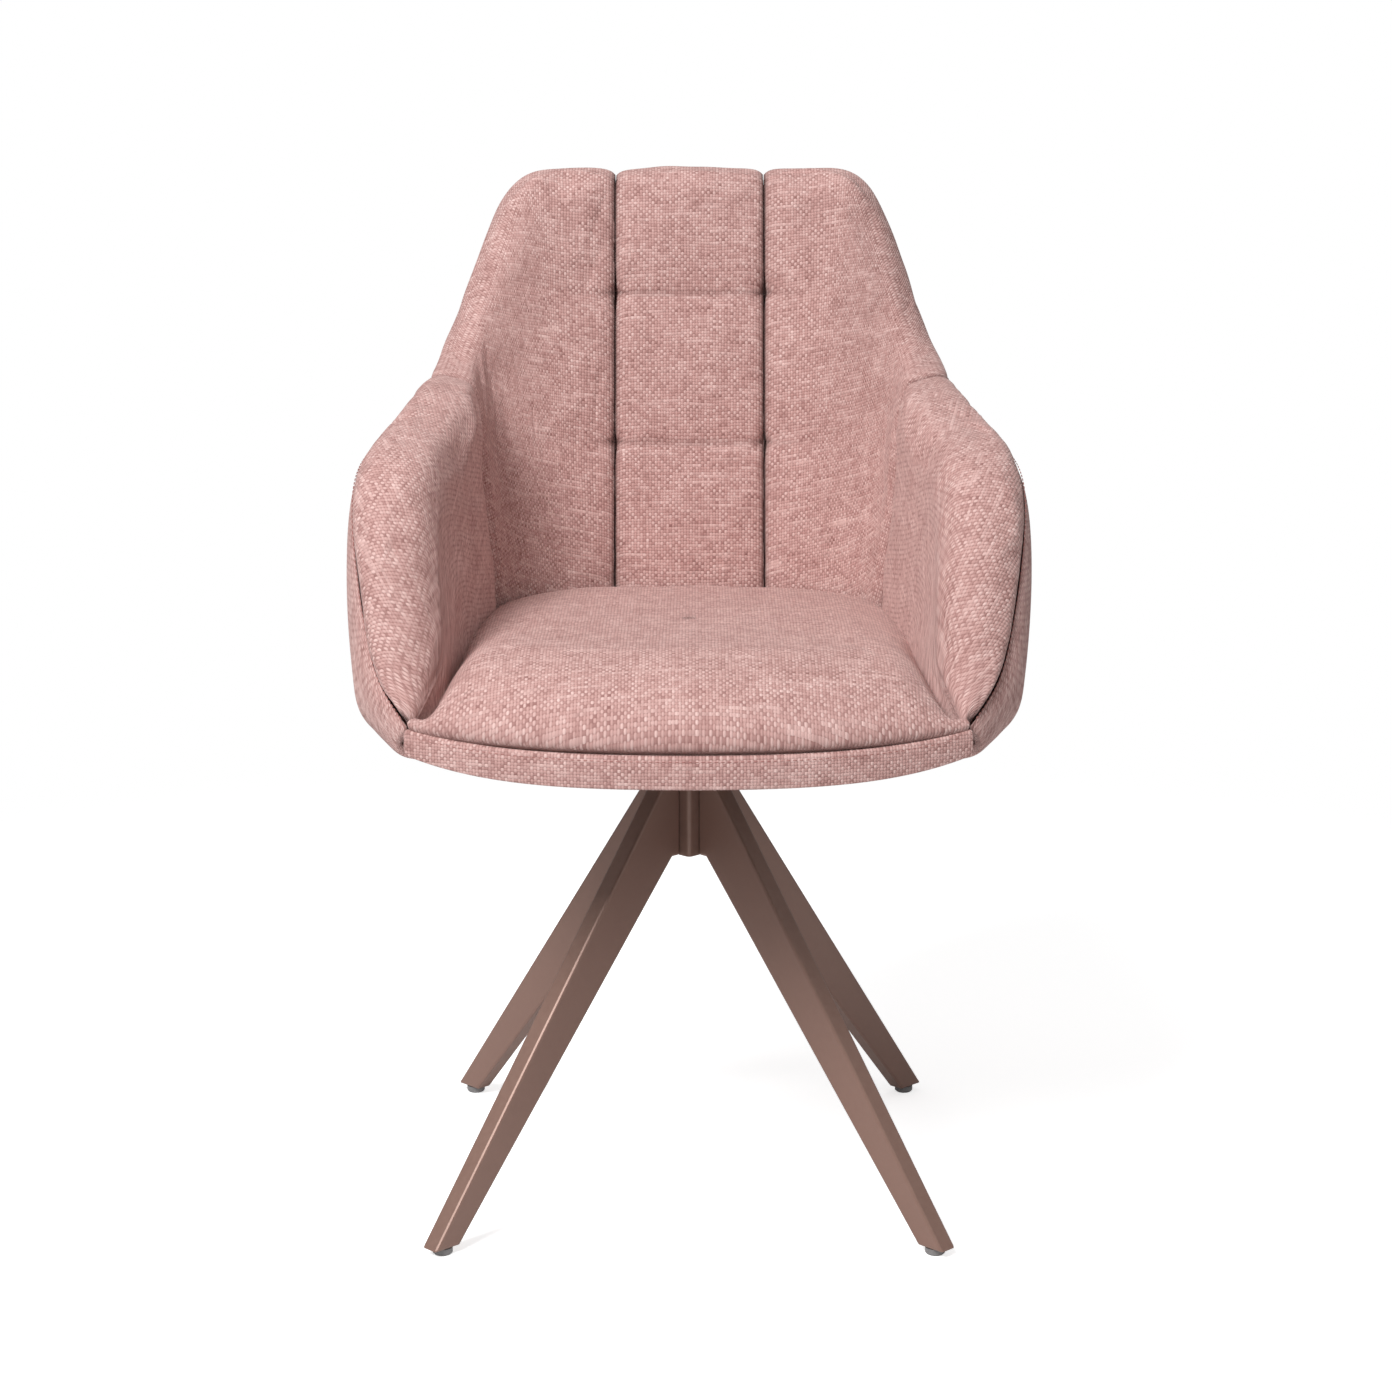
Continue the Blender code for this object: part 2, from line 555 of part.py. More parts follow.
class BucketShape:
    """Reads the bucket wall at any station, from -10 (left front corner) to 10 (right)."""

    def __init__(self):
        half = bucket_stations()
        rows = []
        for seam, inner, outer, thick in half:
            rows.append([*seam, *inner, *outer, thick])
        right = np.array(rows)
        left = right[:0:-1].copy()
        left[:, [0, 3, 5]] *= -1
        self.rows = np.vstack([left, right])
        self.last = len(half) - 1

    def read(self, station):
        """(seam, inner foot, outer foot, inward direction, rim direction, pad thickness)."""
        step = 0.01
        at = np.array([station - step, station, station + step]) + self.last
        before, here, after = natural_spline(self.rows, at)
        tangent = Vector(after[:3] - before[:3]).normalized()
        along = Vector((*(after[3:5] - before[3:5]), 0)).normalized()
        inward = Vector((-along.y, along.x, 0)) * -1.0
        rim = inward.cross(tangent).normalized()
        seam = Vector(here[:3])
        inner = Vector((here[3], here[4], PAD_FOOT_Z))
        outer = Vector((here[5], here[6], SKIN_FOOT_Z))
        return seam, inner, outer, inward, rim, float(here[7])

    def pad_face(self, station, steps=6):
        """The visible face of a pad: from the seam, over the rim and down to the seat."""
        seam, foot, _, inward, rim, thick = self.read(station)
        rise = min(RIM_RISE, 0.35 * thick)
        points = [
            seam + inward * JOIN_GAP + rim * rise * 0.20,
            seam + rim * rise * 0.72 + inward * thick * 0.12,
            seam + rim * rise + inward * thick * 0.42,
            seam + rim * rise * 0.66 + inward * thick * 0.80,
        ]
        shoulder = seam - rim * rise * 0.25 + inward * thick
        for i in range(steps + 1):
            points.append(shoulder.lerp(foot, i / steps))
        return points

    def pad_back(self, station):
        """The hidden back of a pad, from its foot up to the seam, clear of the frame."""
        seam, foot, _, inward, rim, thick = self.read(station)
        return [
            foot - inward * min(PAD_FOOT_THICKNESS, 0.6 * thick),
            seam + inward * thick * 0.64 - rim * thick * 0.70,
            seam + inward * thick * 0.62 - rim * thick * 0.20,
            seam + inward * thick * 0.20 - rim * thick * 0.02,
        ]

    def pad_back_point(self, station, share, clear):
        """A point behind the pad, a share of the way up its back and clear of it."""
        low, high = self.pad_back(station)[:2]
        inward = self.read(station)[3]
        return low.lerp(high, share) - inward * clear

    def pad_back_lean(self, station):
        """How far the back of the pad leans outwards over half a strap's height."""
        low, high = self.pad_back(station)[:2]
        run = high - low
        return Vector((run.x, run.y, 0)) * (STRAP_HEIGHT / 2 / run.z)

    def skin_curve(self, station, steps=8, depth=0.0):
        """The outer cover from the seam down to its foot, moved inwards by a depth."""
        seam, _, foot, inward, rim, _ = self.read(station)
        height = seam.z - foot.z
        drop = Vector((0, 0, height * 0.25))
        swell = 0.0185 + 0.03 * max(0.0, height - 0.25)
        first = seam - drop - inward * min(swell, height * 0.5)
        second = foot - inward * min(0.070 + 0.16 * max(0.0, height - 0.22), height * 0.9)
        points = []
        for i in range(steps + 1):
            t = i / steps
            weights = ((1 - t) ** 3, 3 * t * (1 - t) ** 2, 3 * t * t * (1 - t), t**3)
            places = (seam, first, second, foot)
            point = sum((p * w for p, w in zip(places, weights)), Vector())
            legs = (first - seam, second - first, foot - second)
            turning = ((1 - t) ** 2, 2 * t * (1 - t), t * t)
            speed = sum((leg * w for leg, w in zip(legs, turning)), Vector())
            normal = inward - speed * inward.dot(speed) / speed.dot(speed)
            taper = min(1.0, 0.15 + 3.5 * t)
            points.append(point + normal.normalized() * depth * taper)
        return points

    def flattened(self, points, station, side):
        """A section pressed onto the plane of a station, half a join gap to one side of it."""
        seam, foot, _, inward, _, _ = self.read(station)
        normal = inward.cross(seam - foot).normalized()
        ahead = self.read(station + 0.2)[0] - seam
        if normal.dot(ahead) < 0:
            normal = -normal
        return [p - normal * ((p - seam).dot(normal) - side * JOIN_GAP / 2) for p in points]

    def frame_point(self, station):
        """Where the hoop runs, in the hollow behind the rim."""
        seam, _, _, inward, rim, thick = self.read(station)
        return seam + inward * thick * 0.36 - rim * thick * 0.55

    def rail_point(self, station):
        """Where the seat rail runs, between the pads' feet and the outer cover."""
        _, foot, _, inward, _, _ = self.read(station)
        return foot - inward * (PAD_FOOT_THICKNESS + RAIL_RADIUS + 0.0050) + Vector((0, 0, 0.0030))


# ---------------------------------------------------------------- upholstery
def spread(low, high, count):
    """Evenly spaced places from low to high."""
    return [low + (high - low) * i / (count - 1) for i in range(count)]


def build_pads(shape, seat):
    """Arm pads, and the back pad cut into its three sewn panels."""
    split = 4.3
    for name, sign in (("arm_pad_right", 1), ("arm_pad_left", -1)):
        stations = [sign * s for s in spread(split, ARM_PAD_END, 14)]
        sections = [shape.pad_face(s) + shape.pad_back(s) for s in stations]
        sections[0] = shape.flattened(sections[0], stations[0], sign)
        object_from(name, loft(sections), FABRIC, seat)
    stations = spread(-split, split, 23)
    sections = [shape.pad_face(s) + shape.pad_back(s) for s in stations]
    sections[0] = shape.flattened(sections[0], -split, 1)
    sections[-1] = shape.flattened(sections[-1], split, -1)
    half_gap = JOIN_GAP / 2
    cuts = {
        "back_pad_left": (None, -PANEL_SEAM_X - half_gap),
        "back_pad_centre": (-PANEL_SEAM_X + half_gap, PANEL_SEAM_X - half_gap),
        "back_pad_right": (PANEL_SEAM_X + half_gap, None),
    }
    for name, (low, high) in cuts.items():
        bm = loft(sections)
        if low is not None:
            slice_body(bm, low, Vector((-1, 0, 0)))
        if high is not None:
            slice_body(bm, high, Vector((1, 0, 0)))
        object_from(name, bm, FABRIC, seat)


def slice_body(bm, x, outwards):
    """Cuts a closed body at a plane of constant x and closes the cut."""
    geometry = bm.verts[:] + bm.edges[:] + bm.faces[:]
    found = bmesh.ops.bisect_plane(
        bm, geom=geometry, plane_co=(x, 0, 0), plane_no=outwards, clear_outer=True, dist=1e-6
    )
    rim = [item for item in found["geom_cut"] if isinstance(item, bmesh.types.BMEdge)]
    bmesh.ops.edgeloop_fill(bm, edges=rim)


def build_outer_cover(shape, seat):
    """The outside of the bucket: a back panel and a panel for each arm."""
    split = 4.6
    edge = shape.last
    spans = {
        "outer_cover_back": spread(-split, split, 21),
        "outer_cover_right": spread(split, edge, 13),
        "outer_cover_left": spread(-edge, -split, 13),
    }
    for name, stations in spans.items():
        sections = []
        for station in stations:
            outside = shape.skin_curve(station)
            inside = shape.skin_curve(station, depth=SKIN)
            sections.append(outside + inside[::-1])
        for end, side in ((0, 1), (-1, -1)):
            if abs(abs(stations[end]) - split) < 1e-6:
                sections[end] = shape.flattened(sections[end], stations[end], side)
        object_from(name, loft(sections), FOAM_FABRIC, seat)


def seat_outline(shape, inset=0.0, steps=21):
    """Plan of the seat inside the pads: round the back and sides, then the bowed front."""
    radius, centre_y = front_circle()
    back = BORDER_THICKNESS + JOIN_GAP + inset
    points = []
    for station in spread(-ARM_PAD_END, ARM_PAD_END, 33):
        _, foot, _, inward, _, _ = shape.read(station)
        inner = foot + inward * (0.0010 + inset)
        front_y = centre_y + back - math.sqrt(radius**2 - inner.x**2)
        points.append((inner.x, max(inner.y, front_y + JOIN_GAP)))
    reach = points[-1][0] if inset else BORDER_HALF_WIDTH
    return points + [(x, y + back) for x, y in front_arc(steps, reach)]


def front_circle():
    """Radius and centre, on the Y axis, of the circle that the front of the border follows."""
    radius = (BORDER_HALF_WIDTH**2 + BORDER_CORNER_SETBACK**2) / (2 * BORDER_CORNER_SETBACK)
    return radius, radius - FRONT_REACH


def front_arc(steps, reach):
    """The bowed front line of the border, from a reach right of the centre to as far left."""
    radius, centre_y = front_circle()
    sweep = math.asin(reach / radius)
    angles = [sweep * (1 - 2 * i / (steps - 1)) for i in range(steps)]
    return [(radius * math.sin(a), centre_y - radius * math.cos(a)) for a in angles]


def scaled(outline, factor, centre_y):
    """An outline drawn in towards its centre."""
    return [(x * factor, centre_y + (y - centre_y) * factor) for x, y in outline]


def build_seat(shape, seat):
    """The seat board, its cushion, the front border and the dust cover."""
    board = seat_outline(shape, CUSHION_INSET)
    plywood = object_from("seat_board", prism(board, BOARD_Z, BOARD_Z + BOARD_THICKNESS), PLYWOOD, seat)
    top = BOARD_Z + BOARD_THICKNESS
    bore = TEE_NUT_BARREL_RADIUS + JOIN_GAP
    flange = TEE_NUT_FLANGE_RADIUS + JOIN_GAP
    low = BOARD_Z - 0.01
    step = top - TEE_NUT_FLANGE - 2 * JOIN_GAP
    high = top + 0.01
    profile = [(0, low), (bore, low), (bore, step), (flange, step), (flange, high), (0, high)]
    for i, (x, y) in enumerate(bolt_places()):
        hole = cutter(f"board_hole_{i + 1}", lathe(profile, 16))
        hole.location = (x, y, 0)
        cut(plywood, hole)

    full = seat_outline(shape)
    inner = seat_outline(shape, CUSHION_INSET)
    centre_y = -0.04
    rise = SEAT_CROWN_Z - BORDER_TOP_Z
    rings = [
        (inner, 1.0, CUSHION_Z),
        (inner, 1.0, BORDER_TOP_Z),
        (full, 1.0, BORDER_TOP_Z + JOIN_GAP),
        (full, 0.998, BORDER_TOP_Z + rise * 0.40),
        (full, 0.985, BORDER_TOP_Z + rise * 0.66),
        (full, 0.940, BORDER_TOP_Z + rise * 0.85),
        (full, 0.800, BORDER_TOP_Z + rise * 0.95),
        (full, 0.450, SEAT_CROWN_Z),
    ]
    sections = [[(x, y, z) for x, y in scaled(line, factor, centre_y)] for line, factor, z in rings]
    object_from("seat_cushion", loft(sections), FABRIC, seat)

    edge = 0.0030
    sections = []
    for x, y in front_arc(21, BORDER_HALF_WIDTH):
        corner_share = (x / BORDER_HALF_WIDTH) ** 4
        low = UNDERSIDE_Z + BORDER_LOW_LIFT * corner_share
        high = BORDER_TOP_Z + BORDER_TOP_LIFT * corner_share
        sections.append(
            [
                (x, y + edge, low),
                (x, y, low + edge),
                (x, y, high),
                (x, y + BORDER_THICKNESS, high),
                (x, y + BORDER_THICKNESS, low),
            ]
        )
    object_from("front_border", loft(sections), FABRIC, seat)

    outline = seat_outline(shape, CUSHION_INSET)
    cover_top = BOARD_Z - JOIN_GAP
    cloth = prism(outline, cover_top - DUST_COVER_THICKNESS, cover_top)
    cover = object_from("dust_cover", cloth, NON_WOVEN, seat)
    window = rounded_rectangle(PLATE_LENGTH + 0.004, PLATE_WIDTH + 0.004, 0.0180)
    cut(cover, cutter("dust_cover_window", prism(window, PLATE_Z - 0.01, BOARD_Z + 0.001)))


# ---------------------------------------------------------------- inner frame
def build_frame(shape, seat):
    """The hoop round the rim, the rail round the seat, the back stays and the straps."""
    hoop = [shape.frame_point(s) for s in spread(-8.2, 8.2, 61)]
    rod("rim_hoop", hoop, HOOP_RADIUS, BARE_STEEL, seat)
    rail = [shape.rail_point(s) for s in spread(-7.4, 7.4, 49)]
    rod("seat_rail", rail, RAIL_RADIUS, BARE_STEEL, seat)
    for name, station in (("back_stay_left", -STAY_STATION), ("back_stay_right", STAY_STATION)):
        clear = STRAP_GAP + STRAP_THICKNESS + STAY_GAP + STAY_RADIUS
        path = [shape.pad_back_point(station, share, clear) for share in (0.04, 0.5, 0.92)]
        rod(name, path, STAY_RADIUS, BARE_STEEL, seat)
    for i in range(STRAP_COUNT):
        build_strap(f"back_strap_{i + 1}", shape, 0.20 + 0.26 * i, seat)


def build_strap(name, shape, share, seat):
    """A webbing strap across the back, behind the pads and in front of the stays."""
    sections = []
    for station in spread(-STAY_STATION - 0.25, STAY_STATION + 0.25, 9):
        _, _, _, inward, _, _ = shape.read(station)
        front = shape.pad_back_point(station, share, STRAP_GAP)
        rise = Vector((0, 0, STRAP_HEIGHT / 2))
        lean = shape.pad_back_lean(station)
        rear = front - inward * STRAP_THICKNESS
        sections.append([front - rise - lean, front + rise + lean, rear + rise + lean, rear - rise - lean])
    object_from(name, loft(sections), WEBBING, seat)


def build_chair():
    """Builds every piece of the chair."""
    clear_scene()
    base = empty_at("base", (0, 0, 0))
    cage = empty_at("cage_axis", (0, 0, 0))
    seat = empty_at("swivel_axis", (0, 0, 0))
    build_legs(base)
    build_glides(base)
    build_column(base)
    build_ball_cage(cage)
    build_swivel(seat)
    shape = BucketShape()
    build_pads(shape, seat)
    build_outer_cover(shape, seat)
    build_seat(shape, seat)
    build_frame(shape, seat)


build_chair()
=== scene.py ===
import json
import logging
import math
from dataclasses import dataclass, field, replace
from enum import Enum

import bmesh
import bpy
import numpy as np
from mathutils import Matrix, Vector


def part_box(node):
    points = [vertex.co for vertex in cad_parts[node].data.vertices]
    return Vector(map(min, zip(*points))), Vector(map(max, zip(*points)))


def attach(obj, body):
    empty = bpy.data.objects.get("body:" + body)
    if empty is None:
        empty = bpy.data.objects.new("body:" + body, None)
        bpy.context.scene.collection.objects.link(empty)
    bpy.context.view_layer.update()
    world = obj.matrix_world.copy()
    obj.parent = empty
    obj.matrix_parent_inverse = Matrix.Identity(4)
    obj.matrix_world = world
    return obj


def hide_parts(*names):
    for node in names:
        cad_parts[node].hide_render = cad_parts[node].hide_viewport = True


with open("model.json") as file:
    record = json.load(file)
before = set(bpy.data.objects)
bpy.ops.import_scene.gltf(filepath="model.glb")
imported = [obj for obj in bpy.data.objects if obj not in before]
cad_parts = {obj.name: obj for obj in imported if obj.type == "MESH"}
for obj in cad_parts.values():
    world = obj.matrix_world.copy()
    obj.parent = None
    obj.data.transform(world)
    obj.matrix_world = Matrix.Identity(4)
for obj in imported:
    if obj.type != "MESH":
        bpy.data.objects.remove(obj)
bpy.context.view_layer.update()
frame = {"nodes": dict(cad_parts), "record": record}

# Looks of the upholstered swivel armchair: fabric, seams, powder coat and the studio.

LOG = logging.getLogger("armchair")


class Body(Enum):
    """The rigid bodies that a piece can ride on."""

    BASE = "base"
    CAGE = "cage"
    SEAT = "seat"


class Side(Enum):
    """The two sides of the chair, as the sign of X."""

    LEFT = -1
    RIGHT = 1


# ---------------------------------------------------------------- curves and grids
def natural_spline_weights(count: int, at: np.ndarray) -> np.ndarray:
    """Weights that read a natural cubic spline through evenly numbered points.

    Args:
        count: Number of points that the spline runs through.
        at: Places to read, from 0 to count - 1.

    Returns:
        One row of weights per place, one column per point.
    """
    matrix = np.eye(count)
    right = np.zeros((count, count))
    for i in range(1, count - 1):
        matrix[i, i - 1 : i + 2] = (1.0, 4.0, 1.0)
        right[i, i - 1 : i + 2] = (6.0, -12.0, 6.0)
    second = np.linalg.solve(matrix, right)
    at = np.clip(np.asarray(at, float), 0.0, count - 1.0)
    low = np.minimum(at.astype(int), count - 2)
    b = (at - low)[:, None]
    a = 1.0 - b
    points = np.eye(count)
    bend = ((a**3 - a) * second[low] + (b**3 - b) * second[low + 1]) / 6.0
    return a * points[low] + b * points[low + 1] + bend


def unit(vectors: np.ndarray) -> np.ndarray:
    """Vectors scaled to a length of one."""
    return vectors / np.maximum(np.linalg.norm(vectors, axis=-1, keepdims=True), 1e-12)


def grid_normals(grid: np.ndarray) -> np.ndarray:
    """Normals of a grid of points, down its columns crossed with along its rows.

    Args:
        grid: Points, as (rows, columns, 3).

    Returns:
        One direction per point.
    """
    along = np.gradient(grid, axis=1)
    down = np.gradient(grid, axis=0)
    return unit(np.cross(down, along))


def lengths_along(grid: np.ndarray, axis: int) -> np.ndarray:
    """Running length of a grid's lines along one axis, from 0.

    Args:
        grid: Points, as (rows, columns, 3).
        axis: 0 to run down the columns, 1 to run along the rows.

    Returns:
        One length per point.
    """
    steps = np.linalg.norm(np.diff(grid, axis=axis), axis=-1)
    start = np.zeros_like(np.take(steps, [0], axis=axis))
    return np.concatenate([start, np.cumsum(steps, axis=axis)], axis=axis)


def run_along(line: np.ndarray) -> np.ndarray:
    """Running length of one line of points, from 0."""
    return np.concatenate([[0.0], np.cumsum(np.linalg.norm(np.diff(line, axis=0), axis=1))])


def read_line(places: np.ndarray, run: np.ndarray, line: np.ndarray) -> np.ndarray:
    """Points of a line at places along it."""
    return np.stack([np.interp(places, run, line[:, axis]) for axis in range(line.shape[1])], axis=-1)


def soft_noise(points: np.ndarray, size: float, seed: int) -> np.ndarray:
    """Smooth hills and hollows over points, between about -1 and 1.

    Args:
        points: Places in space.
        size: Distance between hills, in metres.
        seed: Which pattern of hills.

    Returns:
        One height per point.
    """
    random = np.random.default_rng(seed)
    total = np.zeros(points.shape[:-1])
    for _ in range(7):
        direction = unit(random.normal(size=3))
        wave = 2 * math.pi / (size * random.uniform(0.7, 1.6))
        total += np.sin(points @ direction * wave + random.uniform(0, 2 * math.pi))
    return total / 4.0


# ---------------------------------------------------------------- meshes
def add_object(name: str, data: bpy.types.ID) -> bpy.types.Object:
    """Makes an object of some data and puts it in the scene.

    Args:
        name: Name of the object.
        data: Its mesh, light or camera.

    Returns:
        The object.
    """
    made = bpy.data.objects.new(name, data)
    bpy.context.scene.collection.objects.link(made)
    return made


CLOTH_ATTRIBUTE = "cloth_lie"
# Attribute of painted shade: how far the cloth's colour is darkened in seams and tucks.
PAINTED_SHADE_ATTRIBUTE = "cloth_painted_shade"


@dataclass
class ClothMesh:
    """Points and faces of a soft piece, and how its cloth lies at each point.

    Attributes:
        points: Places of the points.
        lie: Distance along the weft and along the warp at each point, in metres.
        faces: Point numbers of each face.
        held: How firmly a seam holds each point, from 0 to 1.
        painted_shade: How dark each point's colour is painted, as shade deep in a seam or a tuck, from 0 to
            1.
    """

    points: np.ndarray
    lie: np.ndarray
    faces: list[tuple[int, ...]]
    held: np.ndarray
    painted_shade: np.ndarray | None = None

    def to_object(self, name: str) -> bpy.types.Object:
        """Makes the object, smooth and facing outwards.

        Args:
            name: Name of the object and of its mesh.

        Returns:
            The object, with its cloth attributes and its group of seams.
        """
        mesh = bpy.data.meshes.new(name)
        mesh.from_pydata([tuple(p) for p in self.points], [], self.faces)
        attribute = mesh.attributes.new(CLOTH_ATTRIBUTE, "FLOAT_VECTOR", "POINT")
        flat = np.concatenate([self.lie, np.zeros((len(self.lie), 1))], axis=1)
        attribute.data.foreach_set("vector", flat.astype(np.float32).ravel())
        # Painted shade in seams and tucks, kept on the points so that the cloth's colour darkens there.
        depth = np.zeros(len(self.points)) if self.painted_shade is None else self.painted_shade
        shade = mesh.attributes.new(PAINTED_SHADE_ATTRIBUTE, "FLOAT", "POINT")
        shade.data.foreach_set("value", np.clip(depth, 0.0, 1.0).astype(np.float32))
        bm = bmesh.new()
        bm.from_mesh(mesh)
        bmesh.ops.recalc_face_normals(bm, faces=bm.faces)
        bm.to_mesh(mesh)
        bm.free()
        mesh.shade_smooth()
        made = add_object(name, mesh)
        group = made.vertex_groups.new(name="seams")
        for level in np.unique(np.round(self.held, 1)):
            if level > 0:
                chosen = np.nonzero(np.round(self.held, 1) == level)[0]
                group.add(chosen.tolist(), float(level), "REPLACE")
        return made


def closed_wrap(rings: np.ndarray, lie: np.ndarray, held: np.ndarray) -> ClothMesh:
    """A closed body from rings of points, one ring per column, with a fan over each end.

    Args:
        rings: Points, as (rows round the ring, columns, 3).
        lie: Cloth lengths of the same points, as (rows, columns, 2).
        held: Hold of the same points, as (rows, columns).

    Returns:
        The closed mesh.
    """
    rows, columns = rings.shape[:2]
    faces: list[tuple[int, ...]] = []
    for row in range(rows):
        below = (row + 1) % rows
        for column in range(columns - 1):
            a, b = row * columns + column, below * columns + column
            faces.append((a, b, b + 1, a + 1))
    points = rings.reshape(-1, 3)
    flat_lie = lie.reshape(-1, 2)
    flat_held = held.reshape(-1)
    for column in (0, columns - 1):
        middle = len(points)
        points = np.vstack([points, rings[:, column].mean(axis=0)])
        flat_lie = np.vstack([flat_lie, lie[:, column].mean(axis=0)])
        flat_held = np.append(flat_held, 1.0)
        for row in range(rows):
            below = (row + 1) % rows
            faces.append((row * columns + column, below * columns + column, middle))
    return ClothMesh(points, flat_lie, faces, flat_held)


@dataclass(frozen=True)
class Stuffing:
    """How a soft piece is blown up between its seams.

    Attributes:
        pressure: Push of the foam against the cloth.
        frames: How long the cloth is left to settle.
        cap: Furthest that any point may move, in metres.
        stiffness: Resistance of the cloth to stretching.
        bend: Resistance of the cloth to bending.
    """

    pressure: float = 4.0
    frames: int = 20
    cap: float = 0.008
    stiffness: float = 18.0
    bend: float = 0.6

    def fill(self, piece: bpy.types.Object) -> None:
        """Runs the cloth once and leaves its shape on the mesh.

        Args:
            piece: The soft piece, with a vertex group that holds its seams.
        """
        before = np.empty(len(piece.data.vertices) * 3)
        piece.data.vertices.foreach_get("co", before)
        before = before.reshape(-1, 3)
        cloth = piece.modifiers.new("stuffing", "CLOTH")
        settings = cloth.settings
        settings.quality = 6
        settings.mass = 0.25
        settings.tension_stiffness = self.stiffness
        settings.compression_stiffness = self.stiffness
        settings.shear_stiffness = self.stiffness / 2
        settings.bending_stiffness = self.bend
        settings.use_pressure = True
        settings.uniform_pressure_force = self.pressure
        settings.vertex_group_mass = "seams"
        settings.pin_stiffness = 1.0
        settings.effector_weights.gravity = 0.0
        cloth.collision_settings.use_collision = False
        cloth.point_cache.frame_start = 1
        cloth.point_cache.frame_end = self.frames
        scene = bpy.context.scene
        for step in range(1, self.frames + 1):
            scene.frame_set(step)
        graph = bpy.context.evaluated_depsgraph_get()
        settled = piece.evaluated_get(graph).to_mesh()
        after = np.empty(len(settled.vertices) * 3)
        settled.vertices.foreach_get("co", after)
        after = after.reshape(-1, 3)
        piece.evaluated_get(graph).to_mesh_clear()
        piece.modifiers.remove(cloth)
        scene.frame_set(1)
        move = after - before
        far = np.linalg.norm(move, axis=1, keepdims=True)
        move *= np.minimum(1.0, self.cap / np.maximum(far, 1e-9))
        piece.data.vertices.foreach_set("co", (before + move).ravel())
        piece.data.update()


def refine(piece: bpy.types.Object, levels: int = 1) -> None:
    """Adds a subdivision surface to a piece, the same in view and in render.

    Args:
        piece: The piece.
        levels: How many times each face is split.
    """
    smooth = piece.modifiers.new("fine_surface", "SUBSURF")
    smooth.levels = levels
    smooth.render_levels = levels


# ---------------------------------------------------------------- shader building blocks
class NodeSheet:
    """Places and links nodes in one node tree."""

    def __init__(self, tree: bpy.types.NodeTree) -> None:
        """Starts on a tree, with nothing placed yet."""
        self.tree = tree

    def add(self, kind: str, **settings: object) -> bpy.types.Node:
        """A new node with its settings.

        Args:
            kind: Blender's name for the node type.
            **settings: Values of the node's own properties.

        Returns:
            The node.
        """
        node = self.tree.nodes.new(kind)
        for key, value in settings.items():
            setattr(node, key, value)
        return node

    def feed(self, socket: bpy.types.NodeSocket, value: object) -> None:
        """Links a socket to another one, or sets it to a value.

        Args:
            socket: Input socket.
            value: Output socket that feeds it, or its value.
        """
        if isinstance(value, bpy.types.NodeSocket):
            self.tree.links.new(value, socket)
        else:
            socket.default_value = value

    def math(self, operation: str, *values: object) -> bpy.types.NodeSocket:
        """The result of a sum on up to three values.

        Args:
            operation: Blender's name for the sum.
            *values: Sockets or numbers.

        Returns:
            The result.
        """
        node = self.add("ShaderNodeMath", operation=operation)
        for socket, value in zip(node.inputs, values):
            self.feed(socket, value)
        return node.outputs[0]

    def mix(self, factor: object, low: object, high: object) -> bpy.types.NodeSocket:
        """A colour between two colours.

        Args:
            factor: 0 for the low colour, up to 1 for the high one.
            low: Socket or colour.
            high: Socket or colour.

        Returns:
            The colour.
        """
        node = self.add("ShaderNodeMix", data_type="RGBA")
        self.feed(node.inputs[0], factor)
        self.feed(node.inputs[6], low)
        self.feed(node.inputs[7], high)
        return node.outputs[2]

    def noise(self, vector: object, scale: object, detail: float = 2.0) -> bpy.types.NodeSocket:
        """Smooth noise between 0 and 1.

        Args:
            vector: Place to read.
            scale: Hills per unit of length.
            detail: How many finer layers lie on top.

        Returns:
            The noise.
        """
        node = self.add("ShaderNodeTexNoise")
        self.feed(node.inputs["Vector"], vector)
        self.feed(node.inputs["Scale"], scale)
        node.inputs["Detail"].default_value = detail
        return node.outputs[0]

    def between(
        self, value: object, low: float, high: float, start: float = 0.0, stop: float = 1.0
    ) -> bpy.types.NodeSocket:
        """A value stretched to run from low to high, or clipped there.

        Args:
            value: Socket to stretch.
            low: Result at the start.
            high: Result at the stop.
            start: Value that gives the low result.
            stop: Value that gives the high result.

        Returns:
            The stretched value.
        """
        node = self.add("ShaderNodeMapRange")
        for socket, given in zip(node.inputs, (value, start, stop, low, high)):
            self.feed(socket, given)
        return node.outputs[0]

    def join(self, x: object, y: object, z: object = 0.0) -> bpy.types.NodeSocket:
        """A vector from three numbers.

        Args:
            x: First number or socket.
            y: Second.
            z: Third.

        Returns:
            The vector.
        """
        node = self.add("ShaderNodeCombineXYZ")
        for socket, value in zip(node.inputs, (x, y, z)):
            self.feed(socket, value)
        return node.outputs[0]

    def split(self, vector: object) -> list[bpy.types.NodeSocket]:
        """The three numbers of a vector.

        Args:
            vector: Socket of the vector.

        Returns:
            Its numbers.
        """
        node = self.add("ShaderNodeSeparateXYZ")
        self.feed(node.inputs[0], vector)
        return list(node.outputs)

    def group(self, tree: bpy.types.NodeTree, **inputs: object) -> list[bpy.types.NodeSocket]:
        """Places a shared node group.

        Args:
            tree: The group.
            **inputs: Sockets or values of its inputs, by name.

        Returns:
            Its outputs.
        """
        node = self.add("ShaderNodeGroup", node_tree=tree)
        for name, value in inputs.items():
            self.feed(node.inputs[name], value)
        return list(node.outputs)

    def bump(self, shader: bpy.types.Node, height: object, strength: float, distance: float) -> None:
        """Raises a surface in its shader.

        Args:
            shader: The material's shader.
            height: Socket of the height, from 0 to 1.
            strength: Weight of the relief.
            distance: Height of the relief, in metres.
        """
        node = self.add("ShaderNodeBump")
        node.inputs["Strength"].default_value = strength
        node.inputs["Distance"].default_value = distance
        self.feed(node.inputs["Height"], height)
        self.feed(shader.inputs["Normal"], node.outputs[0])


